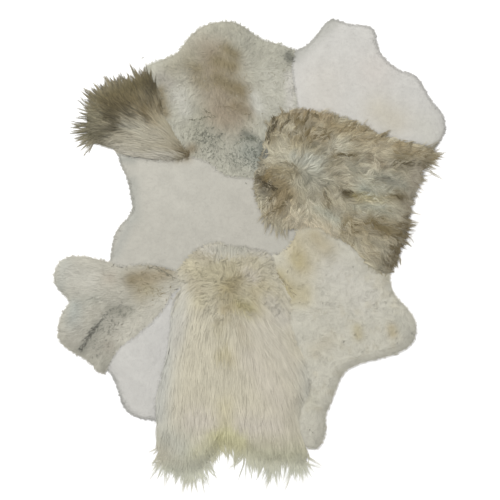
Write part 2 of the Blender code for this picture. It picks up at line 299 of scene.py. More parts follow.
Depth = namedtuple("Depth", "core rim seam rim_shoulder seam_shoulder lump pitch")
DEPTHS = {
    "white_skin_upper": Depth(13 * MM, 6 * MM, 11 * MM, 1.8 * CM, 0.8 * CM, 0.5 * MM, 5 * CM),
    "white_skin_middle": Depth(13 * MM, 6 * MM, 11 * MM, 1.8 * CM, 0.8 * CM, 0.5 * MM, 5 * CM),
    "white_skin_lower": Depth(13 * MM, 6 * MM, 11 * MM, 1.8 * CM, 0.8 * CM, 0.5 * MM, 5 * CM),
    "mottled_skin": Depth(17 * MM, 6 * MM, 11 * MM, 3 * CM, 2 * CM, 2 * MM, 5 * CM),
    "grey_skin": Depth(16 * MM, 6 * MM, 11 * MM, 3 * CM, 2 * CM, 1.2 * MM, 5 * CM),
    "curly_skin": Depth(20 * MM, 7 * MM, 11 * MM, 3.5 * CM, 3 * CM, 2.5 * MM, 4 * CM),
    "tail_skin": Depth(27 * MM, 7 * MM, 11 * MM, 5 * CM, 5 * CM, 3 * MM, 6 * CM),
    "brown_skin": Depth(33 * MM, 9 * MM, 11 * MM, 6 * CM, 6 * CM, 5 * MM, 6 * CM),
    "cream_skin": Depth(35 * MM, 9 * MM, 11 * MM, 7 * CM, 7 * CM, 4 * MM, 8 * CM),
}
CELL = 5 * MM
COLUMNS = 361
ROWS = 421
MAP_LOW = np.array([-0.90, -1.05])


def mottle(x, y, pitch, seed):
    """Smooth random values from -1 to 1 over the rug, with a blotch about every pitch."""
    values = np.random.default_rng(seed).uniform(-1, 1, (257, 257))
    u, v = x / pitch + 128.5, y / pitch + 128.5
    i, j = np.floor(u).astype(int), np.floor(v).astype(int)
    u, v = u - i, v - j
    u, v = u * u * (3 - 2 * u), v * v * (3 - 2 * v)
    i, j = i % 256, j % 256
    low = values[i, j] * (1 - u) + values[i + 1, j] * u
    high = values[i, j + 1] * (1 - u) + values[i + 1, j + 1] * u
    return low * (1 - v) + high * v


def inside(ring, points):
    """Which points lie inside a ring."""
    odd = np.zeros(len(points), bool)
    x, y = points[:, 0], points[:, 1]
    for a, b in zip(ring, np.roll(ring, -1, axis=0)):
        crosses = (a[1] > y) != (b[1] > y)
        if crosses.any():
            odd ^= crosses & (x < (b[0] - a[0]) * (y - a[1]) / (b[1] - a[1] + 1e-12) + a[0])
    return odd


def dome(share):
    return np.sin(np.clip(share, 0, 1) * math.pi / 2)


def wool_depth(node, points):
    """How high the under-wool reaches at each point of its cut."""
    depth = DEPTHS[node]
    ring = rings[node]
    after = np.roll(ring, -1, axis=0)
    rim = np.array([other is None for other in sewn[node]])
    height = np.full(len(points), depth.core)
    lump = depth.lump * mottle(points[:, 0], points[:, 1], depth.pitch, len(node))
    lump += 0.5 * depth.lump * mottle(points[:, 0], points[:, 1], depth.pitch / 2.3, len(node) + 7)
    height += lump * dome(to_sides(points, ring, after) / depth.rim_shoulder)
    for sides, edge, shoulder in (
        (rim, depth.rim, depth.rim_shoulder),
        (~rim, depth.seam, depth.seam_shoulder),
    ):
        if sides.any():
            away = to_sides(points, ring[sides], after[sides])
            height -= (depth.core - edge) * (1 - dome(away / shoulder))
    return np.maximum(height, 0.8 * depth.rim)


def blurred(field, reach):
    """The field averaged twice over a square of cells."""
    for _ in range(2):
        for axis in (0, 1):
            total = sum(np.roll(field, k, axis=axis) for k in range(-reach, reach + 1))
            field = total / (2 * reach + 1)
    return field


def read_map(field, points):
    """A map's value at each point, from the four cells round it."""
    place = np.clip((points - MAP_LOW) / CELL, 0.001, (COLUMNS - 1.01, ROWS - 1.01))
    i, j = place[..., 0].astype(int), place[..., 1].astype(int)
    u, v = place[..., 0] - i, place[..., 1] - j
    low = field[i, j] * (1 - u) + field[i + 1, j] * u
    high = field[i, j + 1] * (1 - u) + field[i + 1, j + 1] * u
    return low * (1 - v) + high * v


map_x, map_y = np.meshgrid(
    MAP_LOW[0] + CELL * np.arange(COLUMNS), MAP_LOW[1] + CELL * np.arange(ROWS), indexing="ij"
)
cells = np.stack([map_x.ravel(), map_y.ravel()], axis=1)
bed = np.zeros(len(cells))
for node in cuts:
    held = inside(rings[node], cells)
    bed[held] = wool_depth(node, cells[held])
bed = bed.reshape(COLUMNS, ROWS)
covered = (bed > 0).astype(float)
drape = np.maximum(bed, blurred(bed, 2))
slope = np.gradient(blurred(bed, 3), CELL)
rim_share = 1 - blurred(covered, 2)


def resampled(ring, step):
    """Points a step apart round a ring."""
    found = []
    for a, b in zip(ring, np.roll(ring, -1, axis=0)):
        count = max(1, round(np.linalg.norm(b - a) / step))
        found += [a + (b - a) * k / count for k in range(count)]
    return np.array(found)


def scattered(node, pitch, seed, margin):
    """Staggered points over a cut, each moved a little at random, at least the margin inside its edge."""
    ring = rings[node]
    low, high = ring.min(axis=0), ring.max(axis=0)
    chance = np.random.default_rng(seed)
    rows = np.arange(low[1], high[1], pitch * 0.87)
    points = []
    for k, y in enumerate(rows):
        x = np.arange(low[0] + pitch * 0.5 * (k % 2), high[0], pitch)
        points.append(np.stack([x, np.full(len(x), y)], axis=1))
    points = np.concatenate(points)
    points += chance.uniform(-0.42, 0.42, points.shape) * pitch
    points = points[inside(ring, points)]
    return points[to_sides(points, ring, np.roll(ring, -1, axis=0)) > margin]


def paint(mesh, colours):
    """Dyes a mesh point by point."""
    layer = mesh.color_attributes.new("wool_dye", "FLOAT_COLOR", "POINT")
    rgba = np.concatenate([colours, np.ones((len(colours), 1))], axis=1)
    layer.data.foreach_set("color", rgba.astype(np.float32).ravel())


def under_wool(node, step, dye, material):
    """The mat of under-wool on a cut: a closed body, domed above and flat below."""
    ring = resampled(rings[node], step)
    count = len(ring)
    before, after = np.roll(ring, 1, axis=0), np.roll(ring, -1, axis=0)
    way = after - before
    inward = np.stack([way[:, 1], -way[:, 0]], axis=1)
    inward /= np.linalg.norm(inward, axis=1)[:, None]
    top_ring = ring + inward * 0.3 * MM
    points = np.concatenate([top_ring, scattered(node, step, 5, 0.6 * step)])
    sides = [(i, (i + 1) % count) for i in range(count)]
    flat, _, triangles, _, _, _ = delaunay_2d_cdt([Vector(p) for p in points], sides, [], 1, 1e-7)
    flat = np.array([tuple(p) for p in flat])
    height = wool_depth(node, flat) - 0.2 * MM
    top = np.column_stack([flat, height])
    skirt = np.column_stack([ring, np.full(count, LEATHER_HIGH + 0.1 * MM)])
    total = len(flat)
    faces = [tuple(t) for t in triangles]
    faces += [(i, total + i, total + (i + 1) % count, (i + 1) % count) for i in range(count)]
    faces.append(tuple(range(total, total + count)))
    piece = mesh_object(node + "_under_wool", np.concatenate([top, skirt]), faces, material)
    piece.data.shade_smooth()
    places = piece_points(piece)
    still = np.full(len(places), 0.25)
    paint(piece.data, dye(places[:, 0], places[:, 1], still, still * 0 + 0.5, still * 0 + 0.5))
    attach(piece, "root")
    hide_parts(node)
    return piece


def piece_points(piece):
    points = np.empty(len(piece.data.vertices) * 3)
    piece.data.vertices.foreach_get("co", points)
    return points.reshape(-1, 3)


def wool_material(name, sheen, matted, grain):
    """Dyed wool: its own colour from root to tip, with the small changes from hair to hair on top of it."""
    material, tones, sockets = new_material(name, sheen, 0.45)
    place = tones.node("TexCoord", out=3)
    dyed = tones.node("Attribute", {"attribute_name": "wool_dye"})
    clouds = tones.node("TexNoise", None, {"Vector": place, "Scale": 22, "Detail": 3})
    fibres = tones.node("TexNoise", None, {"Vector": place, "Scale": grain, "Detail": 3, "Roughness": 0.7})
    shade = 0.80 + clouds * 0.16 + fibres * 0.24
    values = {
        "Base Color": shade.tint(dyed, 1.0),
        "Roughness": 0.55 + fibres * 0.3,
        "Normal": tones.node(
            "Bump", None, {"Strength": matted, "Distance": 1.2 * MM, "Height": fibres}
        ),
    }
    join(tones, values, sockets)
    return material


# The shorn white cuts
# Three cuts are shorn to an even white nap about 12 mm deep, so they look almost smooth, with a soft fuzzy rim.
# The hair stands nearly upright and leans a little out over the edge.

Patch = namedtuple("Patch", "x y to_x to_y radius tone amount")
Lock = namedtuple(
    "Lock",
    "hairs spread width sections coat clump swing bend relief length wave wavelength roll tips stack past",
    defaults=(1.0, 0, 1, 20, 1.0, 0.0, 1.0),
)


def patched(colour, patches, x, y):
    """The colour at each place after soft patches of other colours are laid over it."""
    colour = np.broadcast_to(colour, (*x.shape, 3)).copy()
    for patch in patches:
        a = np.array([patch.x, patch.y]) * CM
        side = np.array([patch.to_x, patch.to_y]) * CM - a
        length = max(side @ side, 1e-9)
        along = np.clip(((x - a[0]) * side[0] + (y - a[1]) * side[1]) / length, 0, 1)
        away = np.hypot(x - a[0] - along * side[0], y - a[1] - along * side[1])
        share = patch.amount * np.exp(-((away / (patch.radius * CM)) ** 2))
        colour += share[..., None] * (tone(patch.tone) - colour)
    return colour


def smooth(value, low, high):
    share = np.clip((value - low) / (high - low), 0, 1)
    return share * share * (3 - 2 * share)


def cut_back(path, kept):
    """Each path cut to a share of its length, with as many points as before."""
    steps = path.shape[1]
    place = np.linspace(0, 1, steps) * kept[:, None] * (steps - 1)
    before = np.minimum(place.astype(int), steps - 2)
    row = np.arange(len(path))[:, None]
    share = (place - before)[..., None]
    return path[row, before] * (1 - share) + path[row, before + 1] * share


def grow(name, node, roots, lay, lock, dye, seed, material):
    """Grows locks from their roots. lay gives each place's heading, its length and how far it may pass the edge of
    the cut, and dye gives the colour along a hair."""
    chance = np.random.default_rng(seed)
    count, hairs, steps = len(roots), lock.hairs, lock.sections
    along = np.linspace(0, 1, steps)
    heading, reach, over = lay(roots)
    length = reach * lock.length * chance.uniform(0.72, 1.25, count)
    turn = math.radians(lock.swing) * chance.normal(size=count)
    bend = math.radians(lock.bend) * chance.normal(size=count)
    path = np.empty((count, steps, 2))
    path[:, 0] = roots
    for k in range(1, steps):
        angle = lay(path[:, k - 1])[0] if k > 1 else heading
        angle = angle + turn + bend * along[k]
        step = (length / (steps - 1))[:, None]
        path[:, k] = path[:, k - 1] + step * np.stack([np.cos(angle), np.sin(angle)], axis=1)
    within = inside(rings[node], path.reshape(-1, 2)).reshape(count, steps).mean(axis=1)
    kept = np.minimum(1, within + lock.past * over * chance.uniform(0.45, 1.15, count) / length)
    length = length * kept
    path = cut_back(path, kept)
    way = np.gradient(path, axis=1)
    way /= np.linalg.norm(way, axis=2)[..., None]
    across = np.stack([-way[..., 1], way[..., 0]], axis=2)

    side = chance.uniform(-1, 1, (count, hairs, 1))
    behind = chance.uniform(-1.2, 0.1, (count, hairs, 1))
    layer = chance.uniform(0, 1, (count, hairs, 1))
    reach_of_hair = chance.uniform(0.7, 1.0, (count, hairs, 1, 1))
    phase = chance.uniform(0, 2 * math.pi, (count, 1, 1)) + chance.normal(size=(count, hairs, 1)) * 0.5
    open_share = 1 - lock.clump * along**1.3
    sway = lock.wave * np.sin(2 * math.pi * along * length[:, None, None] / lock.wavelength + phase)
    sway = sway * np.minimum(1, 2.5 * along)
    stray = chance.normal(size=(count, hairs, 1)) * 0.12 * lock.spread * along**2
    offset = side * lock.spread * open_share + sway + stray
    place = roots[:, None, None] + (path - roots[:, None])[:, None] * reach_of_hair
    place = place + across[:, None] * offset[..., None] + way[:, None] * (behind * lock.spread)[..., None]

    floor = read_map(drape, place)
    rise = 0.15 + 0.85 * smooth(along, 0, 0.3)
    sunk = 1 - (1 - lock.tips) * smooth(along, 0.6, 1.0)
    pile = lock.stack * chance.uniform(0, 1, (count, 1, 1)) + (1 - lock.stack) * layer
    crown = (0.2 + 0.15 * along + 0.65 * pile) * (1 - 0.7 * lock.stack * side**2) * rise * sunk
    lift = lock.coat * crown * np.clip(floor / (12 * MM), 0.3, 1)
    centre = np.concatenate([place, (floor + lift)[..., None]], axis=3)

    tilt = chance.normal(size=(count, hairs, 1, 1)) * math.radians(lock.roll)
    flank = np.concatenate(
        [across[:, None] * np.cos(tilt), np.broadcast_to(np.sin(tilt), (count, hairs, steps, 1))], axis=3
    )
    taper = np.minimum(1, 0.55 + 2 * along) * (1 - along**3)
    half = lock.width / 2 * taper[None, None, :, None] * chance.uniform(0.7, 1.3, (count, hairs, 1, 1))
    edges = np.stack([centre - flank * half, centre + flank * half], axis=3)
    edges[..., 2] = np.maximum(edges[..., 2], 0.5 * MM)
    each = 2 * steps - 1
    points = edges.reshape(count * hairs, 2 * steps, 3)[:, :each].reshape(-1, 3)

    grade = np.stack([-read_map(slope[0], place), -read_map(slope[1], place)], axis=3)
    grade = np.clip(grade, -0.25, 0.25)
    upright = np.concatenate([grade, np.ones((count, hairs, steps, 1))], axis=3)
    facing = upright.copy()
    lean = lock.relief * (1.3 * side + 0.5 * np.sin(phase + 5 * side))
    facing[..., :2] += lean[..., None] * across[:, None]
    sides = np.stack([facing, facing], axis=3)
    sides[..., 0, :2] -= 0.6 * lock.relief * across[:, None]
    sides[..., 1, :2] += 0.6 * lock.relief * across[:, None]
    normals = sides.reshape(count * hairs, 2 * steps, 3)[:, :each].reshape(-1, 3)
    normals /= np.linalg.norm(normals, axis=1)[:, None]

    near = mottle(roots[:, 0], roots[:, 1], 3.5 * CM, seed) * 0.35 + chance.uniform(-0.35, 0.35, count)
    lock_chance = np.broadcast_to(np.clip(0.5 + near, 0, 1)[:, None, None], (count, hairs, steps))
    hair_chance = np.broadcast_to(chance.uniform(0, 1, (count, hairs, 1)), (count, hairs, steps))
    where = np.broadcast_to(along, (count, hairs, steps))
    colours = dye(place[..., 0], place[..., 1], where, lock_chance, hair_chance)
    colours = np.repeat(colours.reshape(count * hairs, steps, 3), 2, axis=1)[:, :each].reshape(-1, 3)

    first = np.arange(count * hairs)[:, None] * each
    corner = []
    for k in range(steps - 2):
        corner += [2 * k + 1, 2 * k, 2 * k + 2, 2 * k + 3]
    corner += [each - 2, each - 3, each - 1]
    loops = (first + np.array(corner)).ravel()
    sizes = np.tile([4] * (steps - 2) + [3], count * hairs)
    starts = np.concatenate([[0], np.cumsum(sizes)[:-1]])
    mesh = bpy.data.meshes.new(name)
    mesh.vertices.add(len(points))
    mesh.loops.add(len(loops))
    mesh.polygons.add(len(sizes))
    mesh.vertices.foreach_set("co", points.astype(np.float32).ravel())
    mesh.loops.foreach_set("vertex_index", loops.astype(np.int32))
    mesh.polygons.foreach_set("loop_start", starts.astype(np.int32))
    mesh.update(calc_edges=True)
    mesh.shade_smooth()
    mesh.normals_split_custom_set_from_vertices(normals.tolist())
    mesh.materials.append(material)
    paint(mesh, colours)
    piece = bpy.data.objects.new(name, mesh)
    bpy.context.scene.collection.objects.link(piece)
    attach(piece, "root")
    wool_on[node].append(piece)
    print("WOOL", name, "triangles", count * hairs * (2 * steps - 3))
    return piece


def rim_roots(node, step, inset, seams=False):
    """Roots along the rim of a cut, or along its seams, with the outward heading at each."""
    ring = rings[node]
    points = []
    headings = []
    for i, other in enumerate(sewn[node]):
        if (other is not None) != seams:
            continue
        a, b = ring[i], ring[(i + 1) % len(ring)]
        way = (b - a) / np.linalg.norm(b - a)
        outward = np.array([-way[1], way[0]])
        count = max(1, round(np.linalg.norm(b - a) / step))
        for k in range(count):
            points.append(a + (b - a) * (k + 0.5) / count - outward * inset)
            headings.append(math.atan2(outward[1], outward[0]))
    return np.array(points), np.array(headings)


def outward_lay(node, reach, seams=False):
    """Hair that leans straight out over the nearest part of the rim, or of the seams."""
    points, headings = rim_roots(node, 1.2 * CM, 0, seams)

    def lay(places):
        away = np.linalg.norm(places[:, None] - points[None], axis=2)
        weight = 1 / (away**2 + (0.8 * CM) ** 2) ** 1.5
        angle = np.arctan2(weight @ np.sin(headings), weight @ np.cos(headings))
        return angle, np.full(len(places), reach), 9.0

    return lay


def loose_lay(reach, seed):
    """Short hair that leans this way and that in slow swirls."""

    def lay(places):
        angle = 2.6 * mottle(places[:, 0], places[:, 1], 6 * CM, seed) + 4.7
        angle += 1.2 * mottle(places[:, 0], places[:, 1], 1.3 * CM, seed + 1)
        return angle, np.full(len(places), reach), 0.4 * CM

    return lay


wool_on = {node: [] for node in cuts}
WHITE_TONES = {
    "white_skin_upper": ("CFCDC7", [
        Patch(50, 74, 50, 74, 8, "D2C9BF", 0.4),
        Patch(30, 70, 30, 60, 10, "CDC8BE", 0.6),
        Patch(70, 52, 74, 45, 6, "C9C7BC", 0.6),
        Patch(52, 58, 58, 54, 7, "C9C2B0", 0.7),
        # Painted shade along this cut's left rim.
        Patch(18, 80, 34, 95, 3, "AFAEA6", 0.8),
    ]),
    "white_skin_middle": ("BEBBB0", [
        Patch(-40, 28, -30, 25, 10, "C5C2B7", 0.5),
        Patch(0, 20, -4, 10, 10, "C0BCB1", 0.6),
        # Painted shade along this cut's left rim, these two.
        Patch(-47, 30, -46, 16, 2.5, "AAAAA1", 0.8),
        Patch(-48, 14, -54, 0, 2.2, "AFAFA7", 0.7),
        Patch(-29, 39.5, -25, 39.5, 2.2, "A0957F", 0.7),
        # Painted shade below the tail cut's lower rim.
        Patch(-54, 39, -47, 38.6, 1.8, "A6A69D", 0.8),
    ]),
    "white_skin_lower": ("CECCC6", [
        Patch(-36, -30, -36, -40, 5, "C7C5C0", 0.6),
        # Painted shade along this cut's left rim.
        Patch(-56, -50, -52, -60, 2.5, "AAAAA4", 0.7),
    ]),
}
NAP = Lock(
    hairs=3, spread=6 * MM, width=3.8 * MM, sections=3, coat=0.5 * MM, clump=0.1, swing=35, bend=20, relief=0.05,
    roll=4,
)
NAP_RIM = Lock(
    hairs=7, spread=4 * MM, width=1.4 * MM, sections=4, coat=1.5 * MM, clump=0.2, swing=18, bend=18, relief=0.08,
    roll=12, tips=0.5,
)


def rim_at(x, y):
    """How near the rim of the rug a place is: 0 inside, 0.5 at the rim, 1 beyond it."""
    return read_map(rim_share, np.stack([x, y], axis=-1))


def white_dye(base, patches):
    def dye(x, y, along, lock, hair):
        colour = patched(tone(base), patches, x, y)
        shade = 1 + 0.02 * mottle(x, y, 3 * CM, 3) + 0.03 * (hair - 0.5) + 0.02 * (lock - 0.5)
        # Painted shade: the nap is darkened to grey towards the rim of the rug, by up to a quarter.
        shade = shade * (1 - 0.25 * smooth(rim_at(x, y), 0.1, 0.75))
        return colour * (0.729 * shade)[..., None]

    return dye


shorn_wool = wool_material("shorn_wool", 0.15, 0.25, 420)
for number, (node, (base, patches)) in enumerate(WHITE_TONES.items()):
    dye = white_dye(base, patches)
    under_wool(node, 11 * MM, dye, shorn_wool)
    roots = scattered(node, 11 * MM, 20 + number, 2 * MM)
    grow(node + "_nap", node, roots, loose_lay(11 * MM, 30), NAP, dye, 40 + number, shorn_wool)
    roots, _ = rim_roots(node, 5 * MM, 5 * MM)
    grow(node + "_rim", node, roots, outward_lay(node, 15 * MM), NAP_RIM, dye, 50 + number, shorn_wool)
    roots, _ = rim_roots(node, 6 * MM, 6 * MM, seams=True)
    lay = outward_lay(node, 13 * MM, seams=True)
    grow(node + "_seam", node, roots, lay, NAP_RIM, dye, 55 + number, shorn_wool)


# The mottled cut
# The top left cut has short dense wool: grey-white at its sides, beige-brown down the back, and flecked with dark
# curly tips over its lower half.

FUZZ = Lock(
    hairs=6, spread=5 * MM, width=1.0 * MM, sections=5, coat=3 * MM, clump=0.2, swing=24, bend=30, relief=0.1,
    wave=1 * MM, wavelength=2 * CM, tips=0.3,
)
MOTTLED_PATCHES = [
    Patch(-16, 80, -10, 58, 9.5, "9A8F7B", 1.0),
    Patch(-13, 78, -7, 76, 3.5, "877C60", 1.0),
    Patch(-13, 71, -8, 68, 3, "82775B", 0.9),
    Patch(-5, 67, -1, 64, 3.5, "83775B", 1.0),
    Patch(-24, 77, -21, 75, 3, "7F7458", 1.0),
    Patch(-21, 71, -18, 69, 3, "8F866F", 0.9),
    Patch(-9, 83, -6, 81, 3, "82775A", 1.0),
    Patch(-35, 71, -32, 69, 3.5, "9A958C", 0.7),
    Patch(-2, 49, 1, 47, 1.8, "62655A", 0.8),
    Patch(5, 44, 7, 36, 2.5, "6F736B", 0.8),
    Patch(-15, 57, -6, 55, 5, "988C78", 0.7),
    Patch(-6, 60, 0, 58, 3, "8A7D64", 0.8),
    Patch(-24, 80, -30, 76, 5, "9B9683", 0.8),
    Patch(-16, 91, -6, 91, 3, "A5A292", 0.8),
    Patch(2, 64, 4, 59, 3, "C6C5BB", 0.8),
    Patch(-4, 86, 4, 82, 4, "A3A192", 0.7),
    Patch(-40, 67, -32, 64, 4, "A6A397", 0.6),
    Patch(-22, 56, -20, 48, 5, "A2A18F", 0.6),
    Patch(-1, 42, 5, 38, 4.5, "8C9086", 0.7),
    Patch(-18, 48, -13, 46, 4, "999889", 0.5),
    Patch(15.3, 80.6, 16.4, 79, 2.2, "77776C", 0.8),
    Patch(-36, 66, -34, 57, 2.6, "857A5F", 0.9),
    Patch(-25, 42, -23, 43, 2.4, "857A63", 0.9),
    Patch(-28, 64, -26, 58, 3.5, "BDBBB0", 0.8),
    Patch(8, 72, 10, 60, 4, "B9B7AA", 0.7),
    Patch(16, 72, 16.4, 58, 2.4, "C8C5BC", 0.9),
]
SHORT = Lock(
    hairs=5, spread=8 * MM, width=2.2 * MM, sections=5, coat=2.5 * MM, clump=0.4, swing=18, bend=20, relief=0.10,
    wave=0.8 * MM, wavelength=2.6 * CM, tips=0.5, stack=0.2,
)
CRIMPED = Lock(
    hairs=5, spread=8 * MM, width=2.2 * MM, sections=5, coat=3 * MM, clump=0.5, swing=26, bend=42, relief=0.15,
    wave=1.4 * MM, wavelength=2 * CM, tips=0.5, stack=0.3,
)


def mottled_dye(x, y, along, lock, hair):
    colour = patched(tone("B2B0A1"), MOTTLED_PATCHES, x, y)
    low = smooth(y, 62 * CM, 50 * CM) * smooth(x, -30 * CM, -16 * CM)
    fleck = smooth(mottle(x, y, 1.2 * CM, 61) + 0.5 * (hair - 0.5), 0.25, 0.7) * low * along
    fleck = fleck * smooth(mottle(x, y, 6 * CM, 62), -0.3, 0.4)
    colour += (0.5 * fleck)[..., None] * (tone("6F7164") - colour)
    shade = 1 + 0.06 * mottle(x, y, 2.5 * CM, 63) + 0.15 * (hair - 0.5) + 0.08 * (lock - 0.5)
    # Painted shade: the wool is darkened a little towards the rim of the rug.
    shade = shade * (1 - 0.08 * smooth(rim_at(x, y), 0.1, 0.75))
    return colour * (0.878 * shade * (0.92 + 0.08 * along))[..., None]


Stroke = namedtuple("Stroke", "points tone spread")
STROKE = Lock(
    hairs=4, spread=2.2 * MM, width=1.2 * MM, sections=5, coat=3.5 * MM, clump=0.3, swing=18, bend=40, relief=0.1,
    length=1.1, wave=0.8 * MM, wavelength=1.2 * CM, tips=0.6, stack=0.3,
)


def draw_strokes(name, node, strokes, base, seed, material, lock=STROKE, reach=1.5 * CM, apart=5 * MM):
    """Lines of darker hair along drawn paths, whose points are given in cm. base is the dye of the wool round them."""
    places, headings, tones = [], [], []
    for stroke in strokes:
        points = np.array(stroke.points, float) * CM
        for a, b in zip(points[:-1], points[1:]):
            count = max(1, round(math.dist(a, b) / apart))
            for k in range(count):
                places.append(a + (b - a) * k / count)
                headings.append(math.atan2(b[1] - a[1], b[0] - a[0]))
                tones.append((*tone(stroke.tone), stroke.spread))
    places = np.array(places)
    tones = np.array(tones)
    places += np.random.default_rng(seed).normal(size=places.shape) * tones[:, 3:] * MM
    headings = np.array(headings)
    reach = np.full(len(places), reach)

    def dye(x, y, along, lock, hair):
        own = tones[:, None, None, :3] * (0.8 + 0.4 * hair)[..., None]
        round_it = base(x, y, along, lock, hair)
        share = smooth(along, -0.1, 0.35) * (0.6 + 0.4 * np.modf(hair * 3.7)[0])
        return round_it + share[..., None] * (own - round_it)

    grow(name, node, places, lambda at: (headings, reach, 1.0), lock, dye, seed, material)


def scattered_strokes(groups, seed):
    """Short strokes at random within round areas, given as x, y, radius, count and tone."""
    chance = np.random.default_rng(seed)
    strokes = []
    for x, y, radius, count, code in groups:
        for _ in range(count):
            a = np.array([x, y]) + chance.normal(size=2) * radius * 0.55
            turn = 2.4 * float(mottle(a[0] * CM, a[1] * CM, 4 * CM, seed)) - 0.5 + chance.normal() * 0.3
            b = a + 0.5 * np.array([math.cos(turn), math.sin(turn)])
            strokes.append(Stroke([a, b], code, 0.2))
    return strokes


MOTTLED_STROKES = [
    Stroke([(-25, 54.5), (-21, 54.5), (-17, 56), (-14, 55.5)], "5A5946", 0.8),
    Stroke([(-19, 59), (-16, 57), (-14, 56)], "55533F", 0.7),
    Stroke([(-14, 60), (-7, 59.5), (-3, 57), (0, 56.5)], "746A54", 0.7),
    Stroke([(-7, 59.5), (-3, 61.5)], "776D57", 0.7),
    Stroke([(-24, 48.5), (-20, 48.5), (-17, 50)], "66665A", 2),
    Stroke([(-20, 46), (-16, 46.5), (-12, 47.5)], "63635A", 3),
    Stroke([(-14, 49), (-11, 46)], "636456", 1.5),
    Stroke([(-4, 47), (0, 48), (3, 46.5), (5, 44)], "545748", 1.5),
    Stroke([(-4, 46.6), (0, 47.4), (3, 46)], "5C5F50", 2),
    Stroke([(-7, 42), (-6, 38), (-3, 35)], "676B5F", 3),
    Stroke([(1, 43), (4, 40), (5, 36)], "5E6256", 4),
    Stroke([(4, 47), (6, 44), (7, 40)], "6C6A58", 2),
    *scattered_strokes([
        (-17, 46, 5, 80, "56584C"),
        (-22, 50, 6, 40, "717163"),
        (-12, 41, 6, 60, "6C6E63"),
        (-8, 38, 3.5, 30, "6C6E63"),
        (-1, 43, 6, 80, "53574D"),
        (3, 38, 6, 100, "50544A"),
        (-2, 52, 7, 50, "85816F"),
        (8, 62, 8, 40, "99978A"),
        (12, 74, 5, 30, "8C8A7B"),
        (15.4, 80.0, 2.2, 40, "63635A"),
        (-38, 63, 7, 40, "8C8A7B"),
        (-30, 70, 9, 40, "8A877B"),
        (-11, 70, 7, 60, "8B8065"),
        (-4, 65, 4, 30, "7F7459"),
        (-14, 76, 6, 40, "8B8065"),
    ], 68),
]


def combed_lay(rows):
    """Hair that follows the nearest rows of a comb table. Sizes there are in cm and headings in degrees."""
    table = np.array(rows, float)
    place = table[:, :2] * CM
    angle = np.radians(table[:, 2])

    def lay(places):
        away = ((places[:, None] - place[None]) ** 2).sum(axis=2)
        weight = 1 / (away + (2.5 * CM) ** 2) ** 1.6
        heading = np.arctan2(weight @ np.sin(angle), weight @ np.cos(angle))
        length, over = (weight @ table[:, 3:]).T / weight.sum(axis=1) * CM
        return heading, length, over

    return lay


def swirled_lay(reach, seed):
    """Curls that turn this way and that, on the whole to the right and down."""

    def lay(places):
        angle = 3.0 * mottle(places[:, 0], places[:, 1], 4 * CM, seed) - 0.6
        return angle, np.full(len(places), reach), 0.8 * CM

    return lay


Comb = namedtuple("Comb", "x y heading length over")
MOTTLED_COMB = [
    Comb(-10, 92, 95, 3.0, 0.8),
    Comb(-22, 86, 130, 3.0, 0.8),
    Comb(-36, 76, 120, 3.0, 0.8),
    Comb(4, 84, 55, 3.0, 0.8),
    Comb(14, 80, 40, 3.0, 0.8),
    Comb(-13, 76, 270, 3.2, 0.8),
    Comb(-28, 66, 215, 3.2, 0.8),
    Comb(4, 68, 320, 3.2, 0.8),
    Comb(14, 66, 330, 3.0, 0.8),
    Comb(-14, 58, 265, 3.4, 0.8),
    Comb(-24, 52, 235, 3.2, 0.8),
    Comb(-2, 50, 290, 3.4, 0.8),
    Comb(-8, 38, 270, 3.2, 0.8),
]

short_wool = wool_material("short_wool", 0.15, 0.3, 380)
under_wool("mottled_skin", 11 * MM, mottled_dye, short_wool)
roots = scattered("mottled_skin", 10.5 * MM, 60, 2 * MM)
grow("mottled_skin_wool", "mottled_skin", roots, combed_lay(MOTTLED_COMB), CRIMPED, mottled_dye, 61, short_wool)
roots, _ = rim_roots("mottled_skin", 6 * MM, 7 * MM)
grow("mottled_skin_rim", "mottled_skin", roots, outward_lay("mottled_skin", 25 * MM), FUZZ, mottled_dye, 62, short_wool)
roots, _ = rim_roots("mottled_skin", 6 * MM, 8 * MM, seams=True)
lay = outward_lay("mottled_skin", 18 * MM, seams=True)
grow("mottled_skin_seam", "mottled_skin", roots, lay, SHORT, mottled_dye, 63, short_wool)
draw_strokes("mottled_skin_flecks", "mottled_skin", MOTTLED_STROKES, mottled_dye, 67, short_wool)


# The grey cut
# The lower left cut is short grey-beige wool combed to the left, with a brown patch near its top and one thin dark
# stripe, the line of the back.

GREY_PATCHES = [
    Patch(-47, -9.5, -42, -9, 3.6, "887E65", 1.0),
    Patch(-42, -11, -34, -7, 4.5, "9A9079", 0.9),
    Patch(-41, -14, -34, -16, 3, "A59D82", 0.8),
    Patch(-76, -12, -74, -4, 3, "A2A6A0", 0.7),
    Patch(-70, -20, -71, -28, 3.5, "A6AAA4", 0.8),
    Patch(-61, -28, -67, -37, 2.2, "77776E", 0.8),
    Patch(-45, -15, -41, -20, 3, "A39B85", 0.6),
    Patch(-57, -9, -56, -9, 3, "A9A091", 0.6),
    Patch(-57, -36, -57, -36, 3, "9C9284", 0.6),
    Patch(-66, -36, -55, -21, 3, "9B9A8F", 0.6),
    Patch(-54, -22, -48, -22, 3, "8D8C80", 0.7),
    Patch(-65, -18, -62, -17, 2.5, "9C9D92", 0.6),
    Patch(-58, -42, -60, -34, 5, "A5A397", 0.6),
    Patch(-72, -8, -66, -10, 7, "BCBAB0", 0.8),
    Patch(-50, -32, -32, -16, 5, "BEBBAF", 1.0),
    Patch(-73, -32, -70, -30, 4, "ACA99E", 0.7),
]
